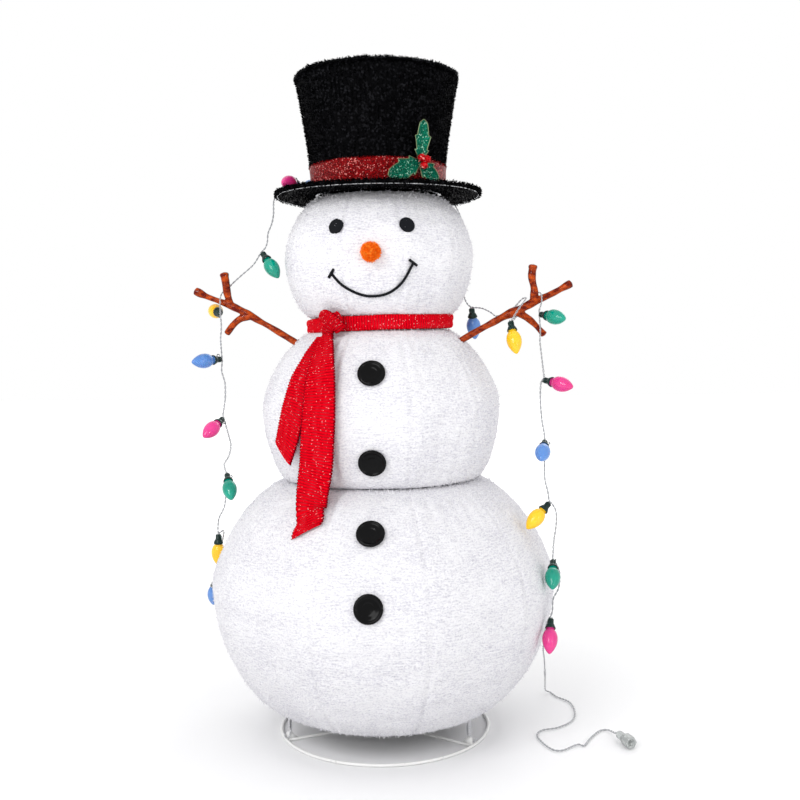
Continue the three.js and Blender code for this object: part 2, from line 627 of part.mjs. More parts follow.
// bulbs from the plug end: where the socket meets the cord, and which way the lens points
const BULBS = [
  { colour: 'pink', at: [378, -129, 285], to: [-0.1, -0.58, -0.81] },
  { colour: 'green', at: [380, -112, 406], to: [-0.08, -0.71, -0.55] },
  { colour: 'yellow', at: [377, -100, 532], to: [-0.66, -0.37, -0.66] },
  { colour: 'blue', at: [369, -93, 668], to: [-0.18, -0.89, -0.42] },
  { colour: 'pink', at: [368, -81, 799], to: [0.67, -0.61, -0.16] },
  { colour: 'green', at: [361, -66, 947], to: [0.56, -0.69, -0.14] },
  { colour: 'yellow', at: [294, -83, 933], to: [0.14, -0.4, -0.91] },
  { colour: 'blue', at: [212, 52, 966], to: [0.1, 0.36, -0.93] },
  { colour: 'pink', at: [203, 158, 1115], to: [-0.12, 0.35, -0.93] },
  { colour: 'green', at: [134, 171, 1251], to: [-0.95, 0.2, 0] },
  { colour: 'yellow', at: [24, 200, 1251], to: [-1, -0.12, 0] },
  { colour: 'blue', at: [-163, 112, 1262], to: [0, -1, 0] },
  { colour: 'pink', at: [-191, 34, 1267], to: [-0.3, -0.94, -0.12] },
  { colour: 'green', at: [-264, -20, 1098], to: [0.53, -0.36, -0.77] },
  { colour: 'yellow', at: [-358, -60, 961], to: [-0.45, 0.88, 0.12] },
  { colour: 'blue', at: [-364, -28, 855], to: [-0.61, -0.67, -0.06] },
  { colour: 'pink', at: [-362, -30, 719], to: [-0.35, -0.72, -0.42] },
  { colour: 'green', at: [-356, -9, 586], to: [0.26, -0.64, -0.61] },
  { colour: 'yellow', at: [-401, 60, 437], to: [-0.05, 0.15, -0.99] },
  { colour: 'blue', at: [-423, 116, 317], to: [-0.17, 0.34, -0.93] },
];

function bulbGeometry() {
  const { socket, socketRadius, lens, lensRadius } = BULB;
  return turned([
    [0, 0], [socketRadius * 0.75, 0], [socketRadius, socket * 0.45], [socketRadius, socket],
    [lensRadius * 0.86, socket + lens * 0.14], [lensRadius, socket + lens * 0.34],
    [lensRadius * 0.85, socket + lens * 0.65], [lensRadius * 0.4, socket + lens * 0.94],
    [0, socket + lens],
  ], 8);
}

function pointAlong(mesh, from, direction) {
  const along = new THREE.Vector3(...direction).normalize();
  mesh.quaternion.setFromUnitVectors(new THREE.Vector3(0, 0, 1), along);
  mesh.position.copy(from);
}

function makeLightString() {
  const route = CORD_ROUTE.map((p) => new THREE.Vector3(...p));
  const cord = tube(lineThrough(route), CORD.diameter / 2, CORD.sides, route.length - 1);
  add('light_cord', cord, FINISH.clearWire);

  BULBS.forEach(({ colour, at, to }, i) => {
    const bulb = add(`bulb_${String(i + 1).padStart(2, '0')}`, bulbGeometry(), FINISH[colour]);
    const base = new THREE.Vector3(...at);
    const along = new THREE.Vector3(...to).normalize();
    pointAlong(bulb, base.addScaledVector(along, BULB.standOff), to);
  });

  const from = new THREE.Vector3(...PLUG.from);
  const axis = new THREE.Vector3(...PLUG.to).sub(from);
  const length = axis.length();
  const body = turned([[0, 0], [4, 0], [9, 8], [9, length * 0.6], [0, length * 0.6]], 12);
  const nut = turned([[0, length * 0.55], [14, length * 0.55], [14, length], [0, length]], 6);
  const plug = add('plug', joined([body, nut]), FINISH.clearPlastic);
  pointAlong(plug, from, axis.toArray());
}

// ---------------------------------------------------------------- assembly
makeStand();
makeMast();
spokedHoop('bottom_hoop', LOWER_BALL.r0 - 8, LOWER_BALL.z0 + 3, BASE.hubHeight + 0.4, 26);
spokedHoop('waist_hoop', LOWER_BALL.r1 - 9, 578, 563, 30);
spokedHoop('neck_hoop', MIDDLE_BALL.r1 - 9, 930, 915, 30);
makeRibs('lower_ribs', LOWER_BALL);
makeRibs('middle_ribs', MIDDLE_BALL);
makeRibs('head_ribs', HEAD);
makeCover('lower_cover', LOWER_BALL);
makeCover('middle_cover', MIDDLE_BALL, ['left', 'right'].map(armSlit));
makeCover('head_cover', HEAD);
[0, 1, 2].forEach(makeTie);
makeShoulderHoop();
makeArm('left');
makeArm('right');
makeHatHub();
makeHat();
makeHolly();
makeEye('eye_left', -1);
makeEye('eye_right', 1);
makeNose();
makeMouth();
[0, 1, 2, 3].forEach(makeButton);
makeScarf();
makeLightString();

export default snowman;
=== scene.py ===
"""Looks for the collapsible yard snowman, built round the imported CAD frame.

Metres, +Z up, face along -Y. Bearings are from +X about +Z.
"""

import json
import math

import bmesh
import bpy
import numpy as np
from mathutils import Matrix, Vector


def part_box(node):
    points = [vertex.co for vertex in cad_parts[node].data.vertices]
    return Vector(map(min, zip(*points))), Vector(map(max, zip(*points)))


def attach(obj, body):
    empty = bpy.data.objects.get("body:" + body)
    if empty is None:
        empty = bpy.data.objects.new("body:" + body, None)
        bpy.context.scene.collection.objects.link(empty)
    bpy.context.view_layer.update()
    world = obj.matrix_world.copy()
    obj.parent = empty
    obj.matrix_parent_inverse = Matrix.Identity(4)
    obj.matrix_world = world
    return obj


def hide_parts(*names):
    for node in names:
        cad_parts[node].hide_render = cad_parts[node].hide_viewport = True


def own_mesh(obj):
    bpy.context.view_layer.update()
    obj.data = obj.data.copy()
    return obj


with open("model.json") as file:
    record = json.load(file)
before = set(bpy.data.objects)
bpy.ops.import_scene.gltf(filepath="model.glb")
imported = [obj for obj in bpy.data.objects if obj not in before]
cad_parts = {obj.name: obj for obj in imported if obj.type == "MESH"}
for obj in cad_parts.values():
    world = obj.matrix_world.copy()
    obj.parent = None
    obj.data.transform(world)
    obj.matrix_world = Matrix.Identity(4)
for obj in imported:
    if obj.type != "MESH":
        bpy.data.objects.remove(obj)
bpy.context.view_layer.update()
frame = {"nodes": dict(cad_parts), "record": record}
rng = np.random.default_rng(11)

MM = 0.001
FRONT = -math.pi / 2  # bearing of the face
GORES = 10  # panels to a ball
GORE_SAG = 0.985  # mid-panel radius as a share of the radius at a seam
SPOKES = [math.radians(b) for b in (87, 207, 327)]  # bearings of the ring's spokes


# ---------------------------------------------------------------- mesh helpers
def polar(radius, bearing, z):
    radius, bearing, z = np.broadcast_arrays(*(np.asarray(v, float) for v in (radius, bearing, z)))
    return np.stack([radius * np.cos(bearing), radius * np.sin(bearing), z], -1)


def around(count):
    """Bearings evenly spaced over one turn."""
    return np.arange(count) * 2 * math.pi / count


def unit(vectors):
    vectors = np.asarray(vectors, float)
    return vectors / np.maximum(np.linalg.norm(vectors, axis=-1, keepdims=True), 1e-12)


def soft_noise(points, scale, seed=0):
    """Smooth value noise from -1 to 1 at each point. scale is in cells per metre, or one number per axis."""
    at = np.asarray(points, float) * scale + 31.7 * (seed + 1)
    cell = np.floor(at).astype(np.int64)
    share = at - cell
    share = share * share * (3 - 2 * share)
    total = np.zeros(len(at))
    for corner in np.ndindex(2, 2, 2):
        c = cell + corner
        mixed = (c[:, 0] * 73856093) ^ (c[:, 1] * 19349663) ^ (c[:, 2] * 83492791) ^ (seed * 7919)
        mixed = ((mixed ^ (mixed >> 13)) * 1274126177) & 0xFFFFFF
        weight = np.prod(np.where(corner, share, 1 - share), axis=1)
        total += weight * (mixed / 0x7FFFFF - 1)
    return total


def grid_faces(rows, columns, wrap_rows=False, wrap_columns=False):
    i, j = np.meshgrid(np.arange(rows if wrap_rows else rows - 1),
                       np.arange(columns if wrap_columns else columns - 1), indexing="ij")
    up, right = (i + 1) % rows, (j + 1) % columns
    corners = [i * columns + j, i * columns + right, up * columns + right, up * columns + j]
    return np.stack(corners, -1).reshape(-1, 4)


class Shape:
    """Points and faces gathered from several parts, with a material number and cloth coordinates each."""

    def __init__(self):
        self.points, self.coords, self.faces, self.count = [], [], [], 0

    def add(self, points, faces, slot=0, coords=None):
        points = np.asarray(points, float).reshape(-1, 3)
        coords = np.zeros((len(points), 2)) if coords is None else np.asarray(coords, float).reshape(-1, 2)
        self.points.append(points)
        self.coords.append(coords)
        for group in faces if isinstance(faces, list) else [faces]:
            self.faces.append((np.asarray(group, np.int64) + self.count, slot))
        self.count += len(points)
        return self

    def lathe(self, outline, sides, slot=0, matrix=None):
        """A solid of revolution about +Z from [radius, height] points that meet the axis or close up."""
        outline = np.array(outline, float)
        turn = around(sides)
        closed_up = outline[0, 0] > 0
        points = polar(outline[:, :1], turn[None], outline[:, 1:]).reshape(-1, 3)
        faces = grid_faces(len(outline), sides, wrap_rows=closed_up, wrap_columns=True)
        if matrix is not None:
            points = moved(points, matrix)
        return self.add(points, faces, slot)

    def tube(self, path, radius, sides=8, slot=0, closed=False):
        """A swept tube, domed at its ends or closed up into a ring."""
        path = np.asarray(path, float)
        radius = np.broadcast_to(np.asarray(radius, float), len(path))
        across, out = frames(path, closed)
        turn = around(sides)
        ring = across[:, None] * np.cos(turn)[None, :, None] + out[:, None] * np.sin(turn)[None, :, None]
        points = path[:, None] + ring * radius[:, None, None]
        faces = grid_faces(len(path), sides, wrap_rows=closed, wrap_columns=True)[:, ::-1]
        if closed:
            return self.add(points, faces, slot)
        domes = np.stack([unit(path[0] - path[1]) * radius[0], unit(path[-1] - path[-2]) * radius[-1]]) * 0.35
        ends = np.stack([path[0], path[-1]]) + domes
        low, high = len(path) * sides, len(path) * sides + 1
        last = (len(path) - 1) * sides
        k = np.arange(sides)
        fans = np.concatenate([np.stack([np.full(sides, low), k, (k + 1) % sides], 1),
                               np.stack([np.full(sides, high), last + (k + 1) % sides, last + k], 1)])
        return self.add(np.concatenate([points.reshape(-1, 3), ends]), [faces, fans], slot)

    def strands(self, roots, ways, length, width, droop, spread=0.5, coords=None):
        """A bent ribbon on each root, along its way with a random lean, curling by droop towards -Z."""
        count = len(roots)
        lean = unit(ways + rng.normal(0, spread, (count, 3)))
        long = length * rng.uniform(0.55, 1.25, (count, 1))
        bent = unit(lean + rng.normal(0, spread, (count, 3)) + np.array([0, 0, -droop]))
        across = unit(np.cross(lean, rng.normal(0, 1, (count, 3)))) * width / 2
        middle = roots + lean * long * 0.55
        tip = middle + bent * long * 0.45
        points = np.stack([roots - across, roots + across, middle + across, middle - across, tip], 1)
        first = np.arange(count)[:, None] * 5
        quads, tips = first + np.array([0, 1, 2, 3]), first + np.array([3, 2, 4])
        if coords is not None:
            coords = np.repeat(coords, 5, axis=0)
        return self.add(points.reshape(-1, 3), [quads, tips], 0, coords)

    def piece(self, name, body, slot, materials, replaces=(), smooth=True, weld=False):
        mesh = bpy.data.meshes.new(name)
        points = np.concatenate(self.points)
        loops = np.concatenate([faces.ravel() for faces, _ in self.faces])
        sizes = np.concatenate([np.full(len(faces), faces.shape[1]) for faces, _ in self.faces])
        mesh.vertices.add(len(points))
        mesh.vertices.foreach_set("co", points.ravel())
        mesh.loops.add(len(loops))
        mesh.loops.foreach_set("vertex_index", loops.astype(np.int32))
        mesh.polygons.add(len(sizes))
        starts = np.concatenate([[0], np.cumsum(sizes)[:-1]])
        mesh.polygons.foreach_set("loop_start", starts.astype(np.int32))
        slots = np.concatenate([np.full(len(faces), number) for faces, number in self.faces])
        mesh.polygons.foreach_set("material_index", slots.astype(np.int32))
        layer = mesh.uv_layers.new(name="cloth")
        layer.data.foreach_set("uv", np.concatenate(self.coords)[loops].ravel())
        mesh.update(calc_edges=True)
        mesh.validate()
        mesh.polygons.foreach_set("use_smooth", np.full(len(mesh.polygons), smooth))
        for material in materials:
            mesh.materials.append(material)
        piece = bpy.data.objects.new(name, mesh)
        bpy.context.scene.collection.objects.link(piece)
        if weld:
            weld_points(mesh)
        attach(piece, body)
        if replaces:
            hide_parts(*replaces)
        return piece


def weld_points(mesh):
    work = bmesh.new()
    work.from_mesh(mesh)
    bmesh.ops.remove_doubles(work, verts=work.verts, dist=2e-5)
    bmesh.ops.dissolve_degenerate(work, edges=work.edges, dist=1e-6)
    bmesh.ops.recalc_face_normals(work, faces=work.faces)
    work.to_mesh(mesh)
    work.free()


def frames(path, closed=False, side=None):
    """Two directions square to the path at each point: turning as little as they can, or following `side`."""
    if closed:
        along = unit(np.roll(path, -1, 0) - np.roll(path, 1, 0))
    else:
        along = unit(np.gradient(path, axis=0))
    if side is not None:
        out = unit(np.cross(np.broadcast_to(side, path.shape), along))
        return unit(np.cross(along, out)), out
    start = np.cross(along[0], [0, 0, 1.0])
    if np.linalg.norm(start) < 1e-3:
        start = np.cross(along[0], [1.0, 0, 0])
    across = [unit(start)]
    for direction in along[1:]:
        across.append(unit(across[-1] - direction * (across[-1] @ direction)))
    across = np.array(across)
    return across, np.cross(along, across)


def smooth_line(points, per_span=8):
    """A Catmull-Rom curve through the points."""
    points = np.asarray(points, float)
    padded = np.concatenate([2 * points[:1] - points[1:2], points, 2 * points[-1:] - points[-2:-1]])
    t = np.arange(per_span)[:, None] / per_span
    pieces = []
    for a, b, c, d in zip(padded, padded[1:], padded[2:], padded[3:]):
        pieces.append(0.5 * (2 * b + (c - a) * t + (2 * a - 5 * b + 4 * c - d) * t**2
                             + (3 * b - a - 3 * c + d) * t**3))
    return np.concatenate([*pieces, points[-1:]])


def evenly(line, step):
    """The same line with points `step` apart."""
    along = np.concatenate([[0], np.cumsum(np.linalg.norm(np.diff(line, axis=0), axis=1))])
    places = np.linspace(0, along[-1], max(2, int(round(along[-1] / step)) + 1))
    return np.stack([np.interp(places, along, line[:, k]) for k in range(line.shape[1])], 1), places


# ---------------------------------------------------------------- material helpers
class Look:
    """A node material: a Principled shader with the few node kinds that the finishes below use."""

    def __init__(self, name, color, roughness, **inputs):
        self.material = bpy.data.materials.new(name)
        self.material.use_nodes = True
        self.material.diffuse_color = (*color, 1)
        self.tree = self.material.node_tree
        self.shader = self.tree.nodes["Principled BSDF"]
        self.put("Base Color", (*color, 1))
        self.put("Roughness", roughness)
        for key, value in inputs.items():
            self.put(key.replace("_", " "), value)

    def put(self, name, value):
        socket = self.shader.inputs[name]
        if isinstance(value, bpy.types.NodeSocket):
            self.tree.links.new(value, socket)
        else:
            socket.default_value = value

    def node(self, kind, inputs=None, **settings):
        made = self.tree.nodes.new(kind)
        for key, value in settings.items():
            setattr(made, key, value)
        for key, value in (inputs or {}).items():
            if isinstance(value, bpy.types.NodeSocket):
                self.tree.links.new(value, made.inputs[key])
            else:
                made.inputs[key].default_value = value
        return made

    def place(self, scale=(1, 1, 1), cloth=False):
        kind = "UV" if cloth else "Object"
        point = self.node("ShaderNodeTexCoord").outputs[kind]
        return self.node("ShaderNodeMapping", {"Vector": point, "Scale": scale}).outputs["Vector"]

    def noise(self, at, scale, detail=2.0, rough=0.5):
        inputs = {"Vector": at, "Scale": scale, "Detail": detail, "Roughness": rough}
        return self.node("ShaderNodeTexNoise", inputs).outputs["Fac"]

    def cells(self, at, scale, output="Color"):
        return self.node("ShaderNodeTexVoronoi", {"Vector": at, "Scale": scale}).outputs[output]

    def wave(self, at, scale, distort=0.0, direction="Y"):
        inputs = {"Vector": at, "Scale": scale, "Distortion": distort, "Detail": 1.0, "Detail Scale": 1.5}
        return self.node("ShaderNodeTexWave", inputs, bands_direction=direction).outputs["Fac"]

    def math(self, operation, first, second=0.0):
        return self.node("ShaderNodeMath", {0: first, 1: second}, operation=operation).outputs[0]

    def ramp(self, factor, low, high):
        made = self.node("ShaderNodeMapRange", {"Value": factor, "From Min": low, "From Max": high})
        return made.outputs["Result"]

    def blend(self, factor, first, second):
        made = self.node("ShaderNodeMix", data_type="RGBA")
        for socket, value in ((made.inputs[0], factor), (made.inputs[6], first), (made.inputs[7], second)):
            if isinstance(value, bpy.types.NodeSocket):
                self.tree.links.new(value, socket)
            else:
                socket.default_value = value if isinstance(value, float) else (*value, 1)
        return made.outputs[2]

    def bump(self, height, distance, strength=1.0, normal=None):
        inputs = {"Height": height, "Distance": distance, "Strength": strength}
        if normal is not None:
            inputs["Normal"] = normal
        return self.node("ShaderNodeBump", inputs).outputs["Normal"]

    def random_of(self, color, channel=0):
        return self.node("ShaderNodeSeparateColor", {"Color": color}).outputs[channel]


def pile_look():
    """White looped pile: short cross strokes with painted shade in grey-violet between the loops, and soft
    mottling.
    """
    look = Look("white_pile", (0.74, 0.735, 0.76), 0.95, Specular_IOR_Level=0.1)
    cloth = look.place(cloth=True)
    strokes = look.noise(look.place((48, 300, 1), cloth=True), 1.0, 3.0, 0.65)
    loops = look.noise(look.place((190, 270, 1), cloth=True), 1.0, 3.0, 0.7)
    grain = look.noise(cloth, 900.0, 2.0, 0.7)
    patch = look.noise(look.place((1.0, 1.6, 1), cloth=True), 9.0, 3.0, 0.6)
    shade = look.math("ADD", look.math("MULTIPLY", loops, 0.6), look.math("MULTIPLY", strokes, 0.4))
    depth = look.math("ADD", 0.30, look.math("MULTIPLY", patch, 0.16))
    # painted shade: the grey-violet colour stands for the shadow in the gaps between loops
    gap_shade = look.ramp(look.math("SUBTRACT", shade, depth), 0.0, 0.15)
    look.put("Base Color", look.blend(gap_shade, (0.54, 0.53, 0.59), (0.775, 0.77, 0.79)))
    fine = look.bump(grain, 0.0012, 0.6)
    look.put("Normal", look.bump(shade, 0.0035, 0.9, fine))
    return look.material


def tinsel_look(name, dark, light, specular):
    """Cut tinsel: dark ribbons, a few of them lighter as painted glints."""
    look = Look(name, dark, 0.45, Specular_IOR_Level=specular)
    pick = look.random_of(look.cells(look.place(), 240.0))
    # painted highlight: the lighter ribbons stand for glints
    look.put("Base Color", look.blend(look.ramp(pick, 0.70, 1.0), dark, light))
    look.put("Roughness", look.math("ADD", 0.35, look.math("MULTIPLY", pick, 0.3)))
    look.put("Normal", look.bump(look.noise(look.place(), 420.0, 2.0), 0.0012, 0.8))
    return look.material


def glitter_look(name, dark, light, glint_flake, cells, edge=None):
    """Glitter: flakes at random tilts, most in the base colour and some painted nearly white as glints."""
    look = Look(name, dark, 0.3, Specular_IOR_Level=0.06)
    at = look.place()
    flakes = look.cells(at, cells)
    pick, other, third = (look.random_of(flakes, channel) for channel in range(3))
    color = look.blend(look.ramp(pick, 0.15, 1.0), dark, light)
    # painted highlight: a few flakes take the near-white glint colour
    color = look.blend(look.ramp(other, 0.90, 0.93), color, glint_flake)
    if edge is not None:
        across = look.node("ShaderNodeSeparateXYZ", {"Vector": look.place(cloth=True)}).outputs["X"]
        color = look.blend(look.ramp(across, 0.90, 0.93), color, edge)
    look.put("Base Color", color)
    look.put("Metallic", look.ramp(third, 0.72, 0.9))
    look.put("Roughness", look.math("ADD", 0.16, look.math("MULTIPLY", pick, 0.3)))
    shape = look.cells(at, cells, "Distance")
    tilt = look.math("MULTIPLY", look.math("ADD", pick, other), look.ramp(shape, 0.0, 0.7))
    look.put("Normal", look.bump(tilt, 0.0011, 1.0))
    return look.material


def felt_look(name, color):
    """Matted fibre."""
    look = Look(name, color, 0.95, Specular_IOR_Level=0.08)
    fibre = look.noise(look.place(), 1500.0, 3.0, 0.7)
    look.put("Base Color", look.blend(look.ramp(fibre, 0.3, 0.75), color, tuple(2.2 * c for c in color)))
    look.put("Normal", look.bump(fibre, 0.0008, 0.8))
    return look.material


def gloss_look(name, color, deep, **inputs):
    """Moulded plastic with a gloss face, faint flow marks and slight colour depth."""
    look = Look(name, color, 0.08, **inputs)
    flow = look.noise(look.place(), 26.0, 2.0)
    look.put("Base Color", look.blend(look.ramp(flow, 0.3, 0.75), deep, color))
    look.put("Roughness", look.math("ADD", 0.07, look.math("MULTIPLY", flow, 0.10)))
    look.put("Normal", look.bump(look.noise(look.place(), 90.0, 1.0), 0.0006, 0.25))
    return look.material


def amber_look():
    """Twig plastic: clear red-amber, with painted shade making it nearly black along each limb's edges, where
    its surface turns away from Y.
    """
    look = Look("amber_twig", (0.34, 0.040, 0.004), 0.10, Specular_IOR_Level=0.12)
    normal = look.node("ShaderNodeTexCoord").outputs["Normal"]
    facing = look.math("ABSOLUTE", look.node("ShaderNodeSeparateXYZ", {"Vector": normal}).outputs["Y"])
    streak = look.noise(look.place((9, 9, 16)), 6.0, 4.0, 0.65)
    red = look.blend(look.ramp(streak, 0.40, 0.62), (0.11, 0.005, 0.001), (0.44, 0.060, 0.005))
    # painted shade: the colour goes nearly black as the normal turns away from the Y axis
    body = look.blend(look.ramp(facing, 0.15, 0.62), (0.030, 0.002, 0.001), red)
    look.put("Base Color", body)
    look.put("Normal", look.bump(look.noise(look.place((1, 1, 1)), 60.0, 3.0), 0.004, 0.5))
    return look.material


def knit_look():
    """Red ribbed knit: thin lines between the rows, darkened there as painted shade and paler in the middle,
    dark edges, a little metal thread painted as pale glinting specks.
    """
    look = Look("red_knit", (0.72, 0.001, 0.010), 0.8, Specular_IOR_Level=0.02)
    at = look.place(cloth=True)
    parts = look.node("ShaderNodeSeparateXYZ", {"Vector": at})
    across, along = parts.outputs["X"], parts.outputs["Y"]
    row = look.math("ABSOLUTE", look.math("SINE", look.math("MULTIPLY", along, math.pi / KNIT_ROW)))
    gap = look.ramp(row, 0.55, 0.15)
    patch = look.noise(look.place((2, 14, 1), cloth=True), 1.0, 2.0)
    middle = look.ramp(look.math("ABSOLUTE", across), 0.85, 0.35)
    pale = look.math("MULTIPLY", look.math("MULTIPLY", gap, middle), look.ramp(patch, 0.42, 0.62))
    color = look.blend(look.noise(look.place(), 240.0, 2.0), (0.80, 0.001, 0.010), (0.52, 0.0, 0.006))
    # painted shade: the lines between the rows are darkened as if in shadow
    color = look.blend(look.math("MULTIPLY", gap, 0.8), color, (0.26, 0.0, 0.004))
    color = look.blend(look.math("MULTIPLY", pale, 0.35), color, (0.90, 0.10, 0.14))
    color = look.blend(look.ramp(look.math("ABSOLUTE", across), 0.90, 0.98), color, (0.20, 0.0, 0.006))
    # metal thread painted as pale specks that stand for its glints
    thread_glint = look.ramp(look.random_of(look.cells(look.place(), 620.0)), 0.978, 0.988)
    color = look.blend(look.math("MULTIPLY", thread_glint, 0.5), color, (1.0, 0.62, 0.60))
    look.put("Base Color", color)
    diagonal = look.math("ADD", across, look.math("MULTIPLY", along, 3.0))
    stitch = look.math("SINE", look.math("MULTIPLY", diagonal, 70.0))
    look.put("Normal", look.bump(look.math("ADD", row, look.math("MULTIPLY", stitch, 0.3)), 0.0016, 0.9))
    return look.material


def painted_look():
    """White paint on steel: slight orange peel, grey in random patches."""
    look = Look("white_steel", (0.74, 0.74, 0.73), 0.32, Coat_Weight=0.3)
    grey_patch = look.noise(look.place(), 55.0, 4.0, 0.7)
    look.put("Base Color", look.blend(look.ramp(grey_patch, 0.62, 0.78), (0.78, 0.78, 0.77), (0.48, 0.48, 0.48)))
    look.put("Roughness", look.math("ADD", 0.22, look.math("MULTIPLY", grey_patch, 0.3)))
    look.put("Normal", look.bump(look.noise(look.place(), 700.0, 2.0), 0.0004, 0.4))
    return look.material


def metal_look(name, color, roughness):
    """Drawn metal with fine lines along its length."""
    look = Look(name, color, roughness, Metallic=1.0)
    drawn = look.noise(look.place((1, 1, 14)), 120.0, 3.0, 0.6)
    look.put("Roughness", look.math("ADD", roughness - 0.08, look.math("MULTIPLY", drawn, 0.22)))
    look.put("Normal", look.bump(drawn, 0.0002, 0.5))
    return look.material


def webbing_look():
    """Woven tape."""
    look = Look("strap", (0.72, 0.72, 0.74), 0.85, Sheen_Weight=0.2)
    warp = look.wave(look.place(), 520.0, 1.0, "Z")
    weft = look.wave(look.place(), 420.0, 1.0, "DIAGONAL")
    both = look.math("MULTIPLY", warp, weft)
    look.put("Base Color", look.blend(look.ramp(both, 0.0, 0.5), (0.5, 0.5, 0.53), (0.80, 0.80, 0.82)))
    look.put("Normal", look.bump(both, 0.0006, 0.8))
    return look.material


def clear_look(name, color, transmission, roughness):
    """Clear vinyl, slightly hazed."""
    look = Look(name, color, roughness, Transmission_Weight=transmission, IOR=1.46)
    haze = look.noise(look.place(), 130.0, 2.0)
    look.put("Base Color", look.blend(haze, tuple(0.8 * c for c in color), color))
    look.put("Roughness", look.math("ADD", roughness, look.math("MULTIPLY", haze, 0.12)))
    look.put("Normal", look.bump(look.noise(look.place(), 300.0, 1.0), 0.0005, 0.4))
    return look.material


KNIT_ROW = 0.0062  # height of one knitted row

WHITE_STEEL = painted_look()
SPRING_STEEL = metal_look("spring_steel", (0.62, 0.63, 0.65), 0.32)
ALUMINIUM = metal_look("mast_tube", (0.70, 0.71, 0.73), 0.34)
PILE = pile_look()
STRAP = webbing_look()
BLACK_TINSEL = tinsel_look("black_tinsel", (0.0008, 0.0008, 0.0011), (0.012, 0.012, 0.014), 0.02)
ORANGE_TINSEL = tinsel_look("orange_tinsel", (0.95, 0.20, 0.006), (1.0, 0.42, 0.05), 0.1)
# the third colour of each glitter is its painted glint
RED_GLITTER = glitter_look("red_glitter", (0.075, 0.0, 0.001), (0.36, 0.003, 0.005), (0.90, 0.26, 0.24),
                           480.0)
GREEN_GLITTER = glitter_look("green_glitter", (0.0, 0.065, 0.036), (0.008, 0.26, 0.15),
                             (0.45, 0.85, 0.65), 520.0,
                             edge=(0.06, 0.24, 0.13))
LEAF_EDGE = metal_look("leaf_edge", (0.20, 0.25, 0.13), 0.4)
RED_BERRY = glitter_look("red_berry", (0.34, 0.0, 0.003), (0.72, 0.01, 0.015), (1.0, 0.36, 0.32), 330.0)
FELT = felt_look("black_felt", (0.006, 0.0065, 0.008))
BLACK_GLOSS = gloss_look("black_gloss", (0.0016, 0.0016, 0.002), (0.001, 0.001, 0.0012),
                         Specular_IOR_Level=0.12)
KNIT = knit_look()
AMBER = amber_look()
CLEAR_WIRE = clear_look("clear_wire", (0.40, 0.41, 0.43), 0.10, 0.16)
CLEAR_PLUG = clear_look("clear_plug", (0.74, 0.77, 0.76), 0.55, 0.14)
SOCKET = gloss_look("bulb_socket", (0.006, 0.030, 0.024), (0.003, 0.016, 0.013), Specular_IOR_Level=0.25)
LENS_COLOURS = {
    "bulb_pink": ((0.74, 0.045, 0.26), (0.58, 0.025, 0.19)),
    "bulb_green": ((0.0, 0.32, 0.22), (0.0, 0.22, 0.15)),
    "bulb_yellow": ((0.92, 0.58, 0.018), (0.82, 0.44, 0.006)),
    "bulb_blue": ((0.12, 0.28, 0.64), (0.07, 0.19, 0.50)),
}
LENS = {name: gloss_look(name, *pair, Subsurface_Weight=0.1) for name, pair in LENS_COLOURS.items()}


# ---------------------------------------------------------------- camera
def make_camera():
    """A long lens a little below the middle of the snowman, turned slightly to its left."""
    azimuth, pitch, yaw, roll = (math.radians(a) for a in (4.484, 0.956, -1.106, -0.771))
    distance, height = 2.349, 0.8865
    place = Vector((distance * math.sin(azimuth), -distance * math.cos(azimuth), height))
    heading = azimuth + yaw
    level = math.cos(pitch)
    forward = Vector((-math.sin(heading) * level, math.cos(heading) * level, -math.sin(pitch)))
    right = Vector((math.cos(heading), math.sin(heading), 0))
    up = right.cross(forward)
    turned_right = right * math.cos(roll) + up * math.sin(roll)
    turned_up = turned_right.cross(forward)
    data = bpy.data.cameras.new("camera")
    data.sensor_width, data.lens, data.shift_y = 36.0, 45.69, -0.05
    camera = bpy.data.objects.new("camera", data)
    rotation = Matrix((turned_right, turned_up, -forward)).transposed().to_4x4()
    camera.matrix_world = Matrix.Translation(place) @ rotation
    bpy.context.scene.collection.objects.link(camera)
    bpy.context.scene.camera = camera


